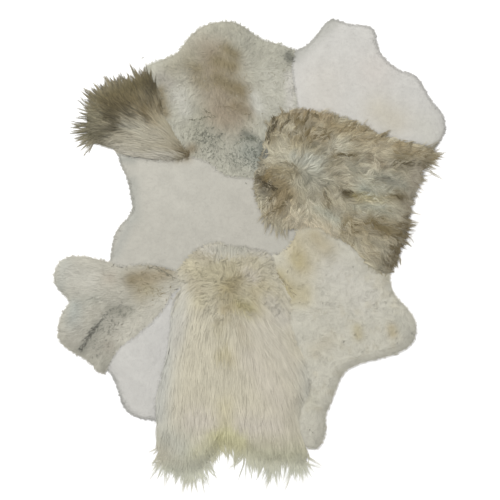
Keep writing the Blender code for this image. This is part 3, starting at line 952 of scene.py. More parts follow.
GREY_STROKES = [
    Stroke([(-55.5, -21), (-59, -25), (-62, -29)], "5F5E57", 1.6),
    Stroke([(-57.5, -23), (-61, -27.5), (-64, -32)], "45443D", 2.2),
    Stroke([(-61, -28), (-65, -33), (-68, -38)], "383731", 2.5),
    Stroke([(-60.4, -28.2), (-64.5, -33.2), (-67.5, -38)], "403F39", 3),
    Stroke([(-61.8, -28), (-65.6, -32.6), (-68.4, -37.4)], "403F39", 3),
    *scattered_strokes([
        (-55, -25, 4, 26, "6C6B62"),
        (-52, -22, 3, 12, "74736A"),
        (-58, -31, 4, 30, "74736A"),
        (-62, -36, 4, 20, "7D7C73"),
        (-42, -10, 5, 40, "7F755C"),
        (-36, -14, 4, 20, "857B61"),
    ], 76),
    Stroke([(-54, -21), (-50, -24), (-49, -21)], "77766B", 3.5),
    Stroke([(-53, -24), (-50, -20), (-46, -22)], "7C7B70", 4),
    Stroke([(-66, -18), (-62, -17), (-58, -18)], "86867C", 2.5),
    Stroke([(-42, -4.2), (-38, -4.6), (-34, -6.4), (-30, -9)], "5B594B", 1.2),
    Stroke([(-41, -4.4), (-36, -5.8), (-32, -8)], "626051", 1.5),
    Stroke([(-58, -34), (-54, -28)], "8B897D", 4),
]
GREY_COMB = [
    Comb(-34, -10, 175, 3.0, 0.8),
    Comb(-44, -6, 165, 3.2, 0.8),
    Comb(-46, -14, 185, 3.4, 0.8),
    Comb(-42, -22, 215, 3.2, 0.8),
    Comb(-56, -10, 178, 3.4, 0.8),
    Comb(-58, -22, 195, 3.4, 0.8),
    Comb(-54, -34, 225, 3.2, 0.8),
    Comb(-68, -6, 165, 3.2, 0.8),
    Comb(-74, -8, 185, 3.0, 0.8),
    Comb(-70, -26, 195, 3.2, 0.8),
    Comb(-66, -38, 225, 3.0, 0.8),
    Comb(-58, -44, 240, 3.0, 0.8),
]


def grey_dye(x, y, along, lock, hair):
    colour = patched(tone("AFACA0"), GREY_PATCHES, x, y)
    fleck = smooth(mottle(x, y, 1.2 * CM, 71) + 0.5 * (hair - 0.5), 0.35, 0.7) * along
    near = np.exp(-(((x + 0.53) ** 2 + (y + 0.25) ** 2) / (0.10**2)))
    colour += (0.6 * fleck * near)[..., None] * (tone("6C6A5E") - colour)
    shade = 1 + 0.04 * mottle(x, y, 2.5 * CM, 72) + 0.13 * (hair - 0.5) + 0.06 * (lock - 0.5)
    return colour * np.array([0.955, 0.95, 0.935]) * (shade * (0.92 + 0.08 * along))[..., None]


under_wool("grey_skin", 11 * MM, grey_dye, short_wool)
roots = scattered("grey_skin", 10.5 * MM, 70, 2 * MM)
grow("grey_skin_wool", "grey_skin", roots, combed_lay(GREY_COMB), SHORT, grey_dye, 71, short_wool)
roots, _ = rim_roots("grey_skin", 6 * MM, 7 * MM)
grow("grey_skin_rim", "grey_skin", roots, outward_lay("grey_skin", 23 * MM), FUZZ, grey_dye, 72, short_wool)
roots, _ = rim_roots("grey_skin", 6 * MM, 8 * MM, seams=True)
lay = outward_lay("grey_skin", 18 * MM, seams=True)
grow("grey_skin_seam", "grey_skin", roots, lay, SHORT, grey_dye, 73, short_wool)
draw_strokes("grey_skin_stripe", "grey_skin", GREY_STROKES, grey_dye, 74, short_wool)


# The curly cut
# The lower right cut has fluffy cream wool of middle length in small loose curls, stained yellow in places, with a
# ragged rim of short curls.

CURLY_PATCHES = [
    Patch(17, 6, 22, -4, 6, "B5AC91", 1.0),
    Patch(26, 8, 31, 2, 4.5, "ABA186", 0.9),
    Patch(19, -1, 20, -3, 3, "B0A580", 0.8),
    Patch(11, -9, 16, -15, 5, "AFA583", 1.0),
    Patch(22, -14, 22, -17, 3.5, "B5AC8D", 0.7),
    Patch(43, -29, 43.5, -32, 2.2, "B2A98A", 0.8),
    Patch(57, -29, 57.5, -31, 2.2, "B1A483", 0.8),
    Patch(26, -38, 32, -34, 3.5, "B5AE99", 0.5),
    Patch(50, -4, 54, -6, 4, "ABA591", 0.7),
    Patch(60, -26, 64, -34, 3, "B2B0A3", 0.6),
    Patch(24, -58, 24, -58, 4, "B3B09E", 0.6),
    Patch(34, -6, 46, -16, 8, "C0BDB2", 0.8),
]
CURL = Lock(
    hairs=4, spread=9 * MM, width=2.6 * MM, sections=6, coat=2 * MM, clump=0.4, swing=30, bend=50, relief=0.08,
    length=3.4 * CM, wave=1.8 * MM, wavelength=1.8 * CM, tips=0.5, stack=0.2,
)


def curly_dye(x, y, along, lock, hair):
    colour = patched(tone("BFBCAE"), CURLY_PATCHES, x, y)
    stain = smooth(mottle(x, y, 3.5 * CM, 81) + 0.5 * mottle(x, y, 1.4 * CM, 82), 0.2, 0.9)
    colour += (0.3 * stain)[..., None] * (tone("B4AD97") - colour)
    shade = 1 + 0.03 * mottle(x, y, 2.0 * CM, 83) + 0.08 * (hair - 0.5) + 0.06 * (lock - 0.5)
    # Painted light: the curls are made lighter towards the rim of the rug, lifting the shade there.
    shade = shade * (1 + 0.08 * smooth(rim_at(x, y), 0.25, 0.8))
    return colour * (0.964 * shade * (0.94 + 0.06 * along))[..., None]


curly_wool = wool_material("curly_wool", 0.2, 0.3, 380)
under_wool("curly_skin", 11 * MM, curly_dye, curly_wool)
roots = scattered("curly_skin", 11 * MM, 80, 2 * MM)
grow("curly_skin_curls", "curly_skin", roots, swirled_lay(1.0, 84), CURL, curly_dye, 81, curly_wool)
roots, _ = rim_roots("curly_skin", 7 * MM, 9 * MM)
grow("curly_skin_rim", "curly_skin", roots, outward_lay("curly_skin", 21 * MM), FUZZ, curly_dye, 82, curly_wool)
roots, _ = rim_roots("curly_skin", 8 * MM, 9 * MM, seams=True)
lay = outward_lay("curly_skin", 0.8, seams=True)
grow("curly_skin_seam", "curly_skin", roots, lay, CURL, curly_dye, 83, curly_wool)


# The tail cut
# The small cut at the left is long wool that fans out from one root, pale there and dark brown over its outer half,
# and ends in wispy points over the rim.

TAIL_PATCHES = [
    Patch(-64, 60, -40, 71, 6, "675F43", 1.0),
    Patch(-66, 60, -65, 50, 5, "6B6853", 1.0),
    Patch(-58, 59, -46, 63, 4.5, "6A6045", 0.9),
    Patch(-39, 70, -38.5, 66, 3, "453E2B", 0.9),
    Patch(-60, 48.5, -57, 50, 2.5, "56523E", 0.9),
    Patch(-40, 60, -36, 60, 3.5, "6B6045", 1.0),
    Patch(-43, 58, -40, 55, 2.5, "6A5F45", 0.9),
    Patch(-50, 59, -47, 56.5, 1.4, "3D3726", 0.8),
    Patch(-58, 57, -56, 54.5, 1.4, "423D2C", 0.8),
    Patch(-50, 52, -44, 50, 3, "A9A89C", 0.9),
    Patch(-38, 48, -54, 44, 5, "BCB8AA", 0.9),
    Patch(-56, 41.5, -32, 38.5, 3, "C9C6BC", 1.0),
    Patch(-27.5, 42.5, -24, 41, 2.8, "7A6F57", 1.0),
    Patch(-67, 58, -62, 56, 3, "8F8B77", 0.9),
    Patch(-66, 52, -62, 51, 2.5, "858170", 0.8),
    Patch(-55, 60, -53, 51, 2.4, "4E4733", 0.8),
    Patch(-38, 60, -36, 54, 2, "A39A83", 0.8),
    Patch(-64.5, 61.5, -66, 59.5, 2, "9B9683", 0.8),
    Patch(-69, 43.5, -65, 44, 2.2, "9B9683", 0.8),
    Patch(-34, 56, -27, 44.5, 1.6, "B4AF9C", 0.7),
    Patch(-54, 38.5, -33, 37, 1.8, "D0CDC3", 0.7),
]
TAIL_COMB = [
    Comb(-25, 42, 165, 12, 1.5),
    Comb(-30, 50, 125, 12, 1.5),
    Comb(-36, 60, 104, 11, 2),
    Comb(-40, 70, 118, 11, 7.5),
    Comb(-46, 66, 116, 10, 5.6),
    Comb(-52, 68, 118, 9, 5.4),
    Comb(-60, 66, 132, 9, 6.4),
    Comb(-40, 52, 148, 12, 2),
    Comb(-50, 56, 154, 11, 2),
    Comb(-64, 60, 152, 8, 1.8),
    Comb(-65, 52, 178, 8, 3),
    Comb(-38, 44, 172, 12, 1.5),
    Comb(-50, 46, 180, 11, 1.5),
    Comb(-64, 47, 205, 8, 3.4),
    Comb(-56, 44, 196, 8, 1.5),
]
TAIL_LOCK = Lock(
    hairs=8, spread=8 * MM, width=2.0 * MM, sections=7, coat=9 * MM, clump=0.6, swing=6, bend=10, relief=0.25,
    wave=1.2 * MM, wavelength=6 * CM, tips=0.15, stack=0.3, past=0.5,
)
TAIL_WISP = Lock(
    hairs=9, spread=6 * MM, width=1.2 * MM, sections=6, coat=11 * MM, clump=0.7, swing=8, bend=12, relief=0.2,
    wave=1.5 * MM, wavelength=7 * CM, tips=0.5, stack=0.4,
)


Wisp = namedtuple("Wisp", "x y heading length")
TAIL_WISPS = [
    Wisp(-39.5, 65, 122, 11),
    Wisp(-40, 66.5, 137, 10.5),
    Wisp(-42, 66, 117, 11.5),
    Wisp(-43, 66.5, 110, 10.5),
    Wisp(-48.5, 65.5, 100, 8.5),
    Wisp(-51.5, 66, 110, 8),
    Wisp(-55, 65.5, 123, 8.5),
    Wisp(-59, 64, 122, 8),
    Wisp(-60, 62, 135, 9.5),
    Wisp(-61.5, 61, 142, 8),
    Wisp(-62.3, 59, 158, 7.5),
    Wisp(-62.3, 57, 165, 8),
    Wisp(-62, 52.8, 183, 10.5),
    Wisp(-62, 50, 192, 10.5),
    Wisp(-63, 48.5, 214, 9),
    Wisp(-62.5, 47.5, 220, 9),
    Wisp(-54, 64, 114, 8),
    Wisp(-55.5, 63.5, 112, 8),
    Wisp(-42, 67, 106, 8),
    Wisp(-41.5, 66.5, 112, 9),
    Wisp(-40, 67.5, 108, 9.5),
    Wisp(-39.5, 67, 112, 9),
]


def set_wisps(name, node, wisps, lock, dye, seed, material, together=4, apart=0.7):
    """Single long locks over the rim, some together, from a table in cm and degrees."""
    chance = np.random.default_rng(seed)
    rows = np.repeat(np.array(wisps, float), together, axis=0)
    rows[:, :2] += chance.normal(size=(len(rows), 2)) * apart
    rows[:, 2] += chance.normal(size=len(rows)) * 5
    heading, reach = np.radians(rows[:, 2]), rows[:, 3] * CM
    grow(name, node, rows[:, :2] * CM, lambda at: (heading, reach, 9.0), lock, dye, seed, material)


EDGE = Lock(
    hairs=8, spread=7 * MM, width=0.9 * MM, sections=5, coat=4 * MM, clump=0.3, swing=16, bend=24, relief=0.12,
    wave=1.5 * MM, wavelength=3 * CM, tips=0.3,
)


def edge_hair(node, lay, reach, dye, seed, material):
    """Fine hair along the seams that lies over the cuts beside it, between its comb's way and straight out."""
    outward = outward_lay(node, reach, seams=True)

    def leaning(places):
        combed = lay(places)[0]
        out, length, over = outward(places)
        angle = np.arctan2(np.sin(combed) + 1.2 * np.sin(out), np.cos(combed) + 1.2 * np.cos(out))
        return angle, length, over

    roots, _ = rim_roots(node, 8 * MM, 12 * MM, seams=True)
    grow(node + "_edge", node, roots, leaning, EDGE, dye, seed, material)


def tail_dye(x, y, along, lock, hair):
    spread = (lock - 0.5) * 0.04
    away = np.hypot(x + 0.24, y - 0.41)
    colour = patched(tone("A8A28F"), TAIL_PATCHES, x + spread, y + spread * 0.5)
    dark = smooth(away + spread, 0.20, 0.40) * smooth(along, 0.1, 0.9)
    colour += (0.35 * dark)[..., None] * (tone("5E563F") - colour)
    streak = np.modf(lock * 5.7)[0] - 0.5
    uneven = 0.15 + 0.85 * smooth(away, 0.12, 0.26) * smooth(y, 0.42, 0.54)
    shade = 1 + uneven * (0.45 * (hair - 0.5) + 0.6 * streak)
    return colour * np.array([0.72, 0.70, 0.65]) * (shade * (0.94 + 0.08 * along))[..., None]


long_wool = wool_material("long_wool", 0.12, 0.3, 300)
under_wool("tail_skin", 11 * MM, tail_dye, long_wool)
roots = scattered("tail_skin", 12.5 * MM, 90, 4 * MM)
tail_lay = combed_lay(TAIL_COMB)
grow("tail_skin_locks", "tail_skin", roots, tail_lay, TAIL_LOCK, tail_dye, 91, long_wool)
roots, _ = rim_roots("tail_skin", 6 * MM, 3 * CM)
grow("tail_skin_rim", "tail_skin", roots, tail_lay, TAIL_WISP, tail_dye, 92, long_wool)
set_wisps("tail_skin_wisps", "tail_skin", TAIL_WISPS, TAIL_WISP, tail_dye, 93, long_wool, 8, 0.9)
edge_hair("tail_skin", tail_lay, 2.6 * CM, tail_dye, 94, long_wool)


# The brown cut
# The right-hand cut has long wavy wool that parts from one crown and falls to every side. It is grey-cream at the
# roots with brown tips, so its edges are brown and locks lie over the cuts beside it.

BROWN_PATCHES = [
    Patch(21, 39, 27, 36, 6, "A9ABA2", 1.0),
    Patch(28, 44, 36, 41, 4, "A9A99E", 0.7),
    Patch(46, 30, 56, 27, 5, "A4A598", 0.8),
    Patch(44, 21, 54, 17, 4, "9FA193", 0.7),
    Patch(36, 34, 44, 34, 3, "A3A193", 0.6),
    Patch(8, 57, 16, 57, 4, "7B6F53", 0.8),
    Patch(8, 47, 12, 51, 3, "7C7257", 0.8),
    Patch(18, 47, 24, 46, 3, "85795C", 0.8),
    Patch(20, 57, 32, 56, 3, "A2947A", 0.8),
    Patch(20, 54, 24, 52, 3.2, "6E6244", 0.9),
    Patch(24, 48.5, 30, 46.5, 3, "7A6D4F", 0.9),
    Patch(34, 51, 46, 50, 3.5, "938668", 0.8),
    Patch(46, 47, 74, 40, 3.5, "8C7F62", 0.8),
    Patch(48, 43, 52, 41, 4, "A9A18C", 0.8),
    Patch(34, 39.8, 43, 38.8, 2.2, "776C50", 0.9),
    Patch(60, 37, 70, 36, 3.5, "665D44", 0.9),
    Patch(67, 34, 66, 18, 3.5, "A39D91", 0.8),
    Patch(63, 12, 57, -3, 4.5, "665C45", 1.0),
    Patch(38, 11, 52, 12, 4.5, "7F7355", 0.9),
    Patch(38, 3, 44, -1, 3, "ACA48E", 0.8),
    Patch(6, 30, 7, 28, 4, "2E2718", 1.0),
    Patch(14, 29, 16, 24, 4, "877B5F", 0.9),
    Patch(12, 34, 18, 33, 3, "857C63", 0.8),
    Patch(7, 33, 12, 24, 3.2, "6F6347", 0.9),
    Patch(11, 20, 14, 16, 2.5, "83775B", 0.8),
    Patch(17, 44, 28, 42, 2.5, "8B836B", 0.7),
    Patch(32, 34, 38, 31, 2.5, "8A8471", 0.8),
    Patch(22, 57, 32, 54, 2.5, "80745A", 0.8),
    Patch(3, 42, 4, 36, 2.5, "716D5E", 0.8),
    Patch(20, 30, 24, 27, 3, "8A8879", 0.9),
    Patch(52, 32, 58, 29, 2.5, "88887C", 0.8),
    Patch(24, 31, 30, 29, 3, "86867A", 0.8),
    Patch(38, 38, 42, 34.5, 2.5, "7C7B6E", 0.8),
    Patch(50, 37, 54, 36, 2, "857B68", 0.7),
    Patch(56, 31, 61, 28.5, 2.5, "84857B", 0.8),
    Patch(39, 24, 43, 22.5, 1.8, "6A6142", 0.8),
    Patch(46, 25, 52, 21, 2.5, "A2ABA4", 0.7),
    Patch(29, 19, 34, 14, 3, "A8AEA6", 0.7),
    Patch(50, 13, 56, 9, 3, "6E6347", 0.9),
    Patch(46, 5, 50, 0, 2.5, "7E7459", 0.8),
    Patch(37.6, 25.8, 39, 25.2, 2.0, "4A412A", 0.9),
    Patch(59, 24, 62, 22, 2.2, "5A5038", 0.9),
    Patch(30, 26, 31, 20, 3, "837B64", 0.8),
    Patch(14, 22, 8, 17, 3.5, "8C8066", 0.8),
    Patch(18, 14, 32, 9, 4, "BDB5A1", 1.0),
    Patch(42, 23.6, 52, 22.6, 1.2, "A0966A", 0.6),
    Patch(44, 22.2, 58, 22.4, 1.6, "7F7659", 0.6),
    Patch(34, 37, 37, 36, 2.2, "77705A", 0.6),
    Patch(34, 22, 38, 21, 2.2, "77705A", 0.6),
    Patch(46, 3.5, 50, 1, 2.5, "B0AA98", 0.7),
    Patch(10, 54, 9, 51, 1.8, "5E5238", 0.7),
]
BROWN_COMB = [
    Comb(22, 44, 80, 7, 2.2),
    Comb(12, 42, 125, 7, 2.2),
    Comb(10, 50, 78, 8, 1.4),
    Comb(14, 56, 68, 7, 1.6),
    Comb(22, 54, 60, 7, 1.8),
    Comb(30, 50, 42, 8, 1.8),
    Comb(40, 50, 30, 8, 1.4),
    Comb(36, 42, 20, 9, 2.2),
    Comb(50, 44, 12, 10, 1.4),
    Comb(60, 45, 6, 9, 2.0),
    Comb(66, 43, -4, 10, 1.5),
    Comb(72, 40, -8, 11, 4.5),
    Comb(25, 38, 45, 8, 2.2),
    Comb(28, 34, 0, 9, 2.2),
    Comb(40, 32, -12, 10, 2.2),
    Comb(54, 32, -12, 10, 1.5),
    Comb(66, 30, -14, 9, 2.0),
    Comb(44, 22, -20, 10, 2.2),
    Comb(58, 20, -22, 9, 4),
    Comb(36, 16, -46, 9, 2.2),
    Comb(48, 8, -40, 10, 1.0),
    Comb(58, 4, -26, 9, 2),
    Comb(28, 22, -62, 9, 1.0),
    Comb(30, 12, -60, 7, 0.6),
    Comb(20, 30, -95, 8, 2.2),
    Comb(18, 14, -105, 8, 0.8),
    Comb(12, 22, -120, 8, 1.4),
    Comb(13, 34, -172, 8, 2.2),
    Comb(6, 28, -160, 7, 1.0),
    Comb(5, 38, 165, 7, 2.2),
    Comb(8, 18, -118, 8, 1.8),
    Comb(60, 12, -20, 9, 3.5),
]
BROWN_UNDER_LOCK = Lock(
    hairs=6, spread=12 * MM, width=4.0 * MM, sections=5, coat=8 * MM, clump=0.5, swing=14, bend=20, relief=0.2,
    wave=2 * MM, wavelength=5 * CM, tips=0.4, stack=0.3, past=0.6,
)
BROWN_LOCK = Lock(
    hairs=22, spread=17 * MM, width=1.9 * MM, sections=9, coat=14 * MM, clump=0.76, swing=20, bend=50, relief=0.32,
    length=1.15, wave=6 * MM, wavelength=5.5 * CM, tips=0.4, stack=0.5,
)


BROWN_WISP = Lock(
    hairs=8, spread=7 * MM, width=1.2 * MM, sections=6, coat=12 * MM, clump=0.7, swing=8, bend=22, relief=0.25,
    wave=3 * MM, wavelength=6 * CM, tips=0.5, stack=0.4,
)
BROWN_WISPS = [
    Wisp(67, 41.5, -15, 9.5),
    Wisp(66, 39, -6, 9),
    Wisp(64, 40.5, -4, 9),
    Wisp(63.5, 32, -18, 9.5),
    Wisp(62, 35, -12, 8),
    Wisp(61, 29, -18, 9),
    Wisp(59, 16, -24, 7.4),
    Wisp(57, 6, -21, 7.2),
    Wisp(52, 0, -31, 6.5),
    Wisp(9, 20, -120, 9),
    Wisp(11, 16, -84, 10.5),
    Wisp(8, 17.5, -96, 8.5),
    Wisp(16, 15, -111, 8),
    Wisp(9, 51, 108, 5.5),
    Wisp(14, 54, 80, 4.8),
    Wisp(20, 55, 58, 4.5),
    Wisp(28, 53.5, 47, 6.5),
    Wisp(38, 49, 30, 8),
    Wisp(42, 47, 16, 10),
    Wisp(57, 23, -14, 9.5),
    Wisp(56.5, 19.5, -20, 12),
    Wisp(56, 14, -20, 12),
    Wisp(55, 9.5, -20, 12),
    Wisp(64, 39.5, -3, 12),
    Wisp(65, 40.5, -6, 11),
    Wisp(58, 29.5, 5, 12.5),
    Wisp(59, 28, 3, 12.5),
    Wisp(66, 40.5, -3, 12),
    Wisp(67, 39.5, -1, 11),
    Wisp(67, 40.5, -5, 10.5),
    Wisp(57, 0.5, -46, 5),
    Wisp(56, 1.5, -38, 6),
    Wisp(58, 15, -12, 9),
    Wisp(58, 11.5, -14, 9),
    Wisp(57.5, 8.5, -16, 9),
    Wisp(66.5, 38.5, -3, 11),
    Wisp(67, 38, -2, 11.5),
    Wisp(61, 31, -10, 11),
    Wisp(57, 14, -6, 10.5),
    Wisp(56.5, 12.5, -4, 10.5),
    Wisp(55, 2, -52, 8),
    Wisp(56, 1, -56, 7),
]


def brown_dye(x, y, along, lock, hair):
    spread = (lock - 0.5) * 0.03
    colour = patched(tone("A5A190"), BROWN_PATCHES, x + spread, y - spread)
    away = np.hypot(x - 0.21, y - 0.39)
    tips = smooth(along, 0.45, 1.0) * smooth(away, 0.08, 0.22) * smooth(lock, 0.3, 0.65)
    tips = tips * (1 - 0.9 * np.exp(-((x - 0.26) ** 2 + (y - 0.08) ** 2) / 0.01))
    colour += (0.7 * tips)[..., None] * (tone("6B5F43") - colour)
    pale = smooth(lock, 0.55, 0.25) * smooth(np.abs(along - 0.5), 0.5, 0.1)
    colour += (0.4 * pale)[..., None] * (tone("B1AD9E") - colour)
    shade = 1 + 0.36 * (hair - 0.5) + 0.32 * (np.modf(lock * 7.3)[0] - 0.5)
    return colour * np.array([1.10, 1.07, 1.005]) * (shade * (0.92 + 0.10 * along))[..., None]


BROWN_STROKE = Lock(
    hairs=9, spread=6 * MM, width=1.7 * MM, sections=6, coat=15 * MM, clump=0.6, swing=12, bend=22, relief=0.2,
    wave=2.5 * MM, wavelength=4 * CM, tips=0.6, stack=0.4,
)
BROWN_STROKES = [
    Stroke([(6.5, 45.6), (7.6, 50.4), (10.2, 54.6)], "3F3722", 1.5),
    Stroke([(8.9, 48.4), (10.4, 54)], "453C26", 1.5),
    Stroke([(11.5, 47.5), (12.6, 51), (14.6, 53.8)], "564B32", 1.5),
    Stroke([(16, 47), (18.4, 51), (18, 55.5)], "75694C", 2),
    Stroke([(7, 45), (8.2, 49), (9.4, 51)], "3A3220", 2),
    Stroke([(14, 52), (16, 55)], "4A412B", 2),
    Stroke([(5, 38), (6, 42)], "5A5C55", 3),
    Stroke([(6.4, 38.5), (7.4, 41.5)], "5C6062", 3),
    Stroke([(21.3, 52.4), (23.7, 57.2), (26.5, 55.6)], "54492F", 2),
    Stroke([(23.7, 44.4), (26.5, 47.6), (31.3, 48.8)], "675B3F", 3),
    Stroke([(27.3, 52), (32.1, 47.2)], "6E6247", 3),
    Stroke([(36, 48.4), (40, 51), (42, 53)], "7A6D51", 3),
    Stroke([(40, 46.4), (50, 46.6), (55, 49.5)], "7A6E53", 3),
    Stroke([(56, 42.4), (66, 40.4), (73, 39)], "7C7054", 4),
    Stroke([(58, 37), (68, 37)], "5D5540", 4),
    Stroke([(34, 40.4), (40, 40)], "615840", 2),
    Stroke([(4.9, 33.6), (8, 27)], "2E2718", 3),
    Stroke([(3.3, 30.4), (10, 26.4)], "352E1E", 3),
    Stroke([(3.4, 32), (6.5, 30), (8, 29)], "2A2416", 4),
    Stroke([(4, 29.5), (7, 28.6)], "2E2718", 4),
    Stroke([(8, 18.4), (14, 21.2), (16, 24.4)], "5F553C", 3),
    Stroke([(6.5, 16.4), (11, 19.6)], "665B41", 2),
    Stroke([(13, 38), (17, 36.5), (19, 33)], "7C745D", 3),
    Stroke([(14, 34), (17, 31)], "7C745D", 3),
    Stroke([(36, 26.4), (40, 24.4)], "453C26", 3),
    Stroke([(40, 11.6), (49, 13.6), (54, 11.2)], "6D6145", 4),
    Stroke([(38, 8.4), (42, 9.6)], "766A4C", 3),
    Stroke([(58, 24.8), (61.7, 23.2)], "4F452E", 3),
    Stroke([(29, 26), (32, 20.4)], "746B54", 4),
    Stroke([(11, 27), (9, 23), (7.5, 20)], "6A5F45", 3),
    Stroke([(14.5, 24), (12.5, 20), (11.5, 17)], "75694E", 3),
    Stroke([(9, 24.5), (6.8, 21)], "5F543B", 2.5),
]


under_wool("brown_skin", 11 * MM, brown_dye, long_wool)
brown_lay = combed_lay(BROWN_COMB)
roots = scattered("brown_skin", 17 * MM, 100, 5 * MM)
grow("brown_skin_under_locks", "brown_skin", roots, brown_lay, BROWN_UNDER_LOCK, brown_dye, 101, long_wool)
roots = scattered("brown_skin", 27 * MM, 102, 8 * MM)
grow("brown_skin_locks", "brown_skin", roots, brown_lay, BROWN_LOCK, brown_dye, 103, long_wool)
draw_strokes(
    "brown_skin_dark_locks", "brown_skin", BROWN_STROKES, brown_dye, 105, long_wool, BROWN_STROKE, 3.8 * CM, 11 * MM
)
set_wisps("brown_skin_wisps", "brown_skin", BROWN_WISPS, BROWN_WISP, brown_dye, 104, long_wool, 7, 0.9)
edge_hair("brown_skin", brown_lay, 3.0 * CM, brown_dye, 106, long_wool)


# The cream cut
# The large bottom cut is the longest, silkiest wool. It parts from a curly yellow crown, falls straight to the foot
# of the rug and spreads there into two bunches of loose pointed locks.

CREAM_PATCHES = [
    Patch(-8.7, -13, -8, -12, 6.5, "A09574", 1.0),
    Patch(-14, -4, 0, -3, 6, "AEA68A", 0.8),
    Patch(5, -12, 9, -17, 4, "AFA584", 0.7),
    Patch(-20, -17, -20, -19, 4, "B8B092", 0.6),
    Patch(-14, -27, -8, -25, 1.6, "9C937A", 0.6),
    Patch(-12, -30, -12, -30, 3, "A9A288", 0.6),
    Patch(-8, -41, -8, -42, 3.2, "ABA282", 0.7),
    Patch(-24, -79, 20, -80, 5, "B8B69C", 0.9),
    Patch(-14, -74, -4, -76, 3.5, "BDB892", 0.9),
    Patch(-38, -88, 24, -88, 6, "BEBFAE", 0.9),
    Patch(-23, -66, 10, -69, 5, "C3BCB0", 0.7),
    Patch(-26, -12, -30, -32, 3.5, "B3B0A4", 0.9),
    Patch(-4, -28, -2, -29, 3, "A59C86", 0.8),
    Patch(2, -14, 4, -22, 3.5, "A99F80", 0.7),
    Patch(-34, -72, -28, -76, 6, "B0B0A4", 0.8),
    Patch(-32, -26, -37, -64, 5, "B4B4AC", 0.9),
    Patch(24, -46, 24, -66, 5, "B4B3A8", 0.8),
    Patch(-22, 2, 14, 3, 3.5, "B5B2A9", 0.8),
    Patch(-24, -4, -18, -8, 4, "AEA68A", 0.7),
    Patch(8, -18, 14, -26, 4, "BEBAB0", 0.6),
    Patch(6, -28, 16, -46, 6, "BDB7AA", 0.5),
    Patch(0, -40, 12, -58, 6, "BDB6A9", 0.6),
    Patch(-28, -26, -30, -36, 3, "B4B0A5", 0.7),
    Patch(2, -28, 10, -36, 5, "B5AFA0", 0.6),
    Patch(-4, -9, -3, -8, 2, "8E8464", 0.8),
    Patch(-10, -21, -5, -20, 2.5, "A5997A", 0.8),
    Patch(-21, -22, -19, -22, 2.5, "AAA493", 0.7),
    Patch(-4, -32, -1, -36, 2.5, "A9A28F", 0.7),
    Patch(-12, 2.5, -2, 3, 2.2, "A9A799", 0.8),
    Patch(-4, -19, 0, -21, 3, "A0976F", 0.8),
    Patch(-23, -11, -21, -13, 3, "A9A088", 0.7),
    Patch(-21, 0, -17, -1, 3, "A39B85", 0.8),
    Patch(-1, -6, 2, -9, 3, "C4BDB0", 0.6),
    Patch(-12, -40, -10, -38, 2.5, "A79F80", 0.8),
    Patch(-10, -60, -10, -70, 4, "BDB697", 0.7),
    # Painted light: the next three patches lighten the ridge at the foot, lifting the shade of its slope.
    Patch(-14, -73.5, -9, -71.5, 2.6, "D0CC9C", 0.8),
    Patch(-9, -71.5, -3, -74, 2.6, "CDC9A2", 0.8),
    Patch(-21, -78, -15, -74.5, 2.2, "C9C5A8", 0.7),
    Patch(2, -74, 10, -74, 3, "B3AE98", 0.6),
]
CREAM_COMB = [
    Comb(-9, -6, 95, 6, 1.8),
    Comb(-8, 1, 90, 5, 1.8),
    Comb(-17, -4, 135, 6, 1.8),
    Comb(-22, 0, 145, 5, 1.8),
    Comb(0, -6, 60, 6, 1.8),
    Comb(6, -2, 35, 5, 1.8),
    Comb(-3, -12, 340, 7, 1.8),
    Comb(6, -14, 322, 9, 1.8),
    Comb(13, -20, 312, 9, 1.8),
    Comb(-15, -12, 195, 8, 1.8),
    Comb(-24, -10, 215, 9, 1.8),
    Comb(-29, -20, 250, 12, 1),
    Comb(-9, -20, 268, 11, 1.8),
    Comb(-20, -24, 255, 12, 1.8),
    Comb(-9, -32, 270, 14, 1.8),
    Comb(2, -26, 298, 13, 1.8),
    Comb(12, -32, 308, 12, 1.8),
    Comb(18, -42, 304, 12, 1.8),
    Comb(-31, -40, 262, 14, 1),
    Comb(-20, -45, 267, 14, 1.8),
    Comb(-8, -48, 270, 14, 1.8),
    Comb(4, -48, 282, 14, 1.8),
    Comb(15, -50, 296, 13, 1.8),
    Comb(21, -56, 286, 11, 1.5),
    Comb(-34, -60, 262, 14, 1.5),
    Comb(-22, -62, 268, 14, 3),
    Comb(-10, -62, 271, 12, 3),
    Comb(2, -62, 278, 13, 3),
    Comb(13, -62, 284, 13, 3),
    Comb(-36, -74, 262, 10, 2.5),
    Comb(-31, -80, 256, 12, 6),
    Comb(-24, -80, 274, 13, 7),
    Comb(-17, -78, 284, 13, 8),
    Comb(-10, -72, 268, 13, 9.5),
    Comb(-3, -74, 280, 15, 10.5),
    Comb(5, -77, 276, 13, 7.5),
    Comb(13, -78, 274, 13, 7),
    Comb(21, -78, 271, 13, 7),
]
CREAM_UNDER_LOCK = Lock(
    hairs=6, spread=15 * MM, width=4.2 * MM, sections=5, coat=6 * MM, clump=0.2, swing=5, bend=8, relief=0.1,
    length=1.1, wave=1 * MM, wavelength=9 * CM, tips=0.1, stack=0.1, past=0.6,
)
CREAM_LOCK = Lock(
    hairs=8, spread=13 * MM, width=2.1 * MM, sections=7, coat=6 * MM, clump=0.45, swing=7, bend=16, relief=0.11,
    length=1.2, wave=3 * MM, wavelength=10 * CM, tips=0.1, stack=0.3, past=0.7,
)
CREAM_WISP = Lock(
    hairs=7, spread=5.5 * MM, width=1.2 * MM, sections=6, coat=10 * MM, clump=0.75, swing=9, bend=20, relief=0.15,
    wave=2 * MM, wavelength=9 * CM, tips=0.4, stack=0.4,
)
CREAM_FRINGE = Lock(
    hairs=9, spread=7 * MM, width=1.1 * MM, sections=6, coat=9 * MM, clump=0.6, swing=10, bend=18, relief=0.12,
    wave=2 * MM, wavelength=9 * CM, tips=0.3, stack=0.2, past=1.1,
)
CROWN_CURL = Lock(
    hairs=9, spread=9 * MM, width=2.2 * MM, sections=9, coat=9 * MM, clump=0.85, swing=28, bend=55, relief=0.4,
    length=0.6, wave=4 * MM, wavelength=2.8 * CM, tips=0.5, stack=0.5,
)


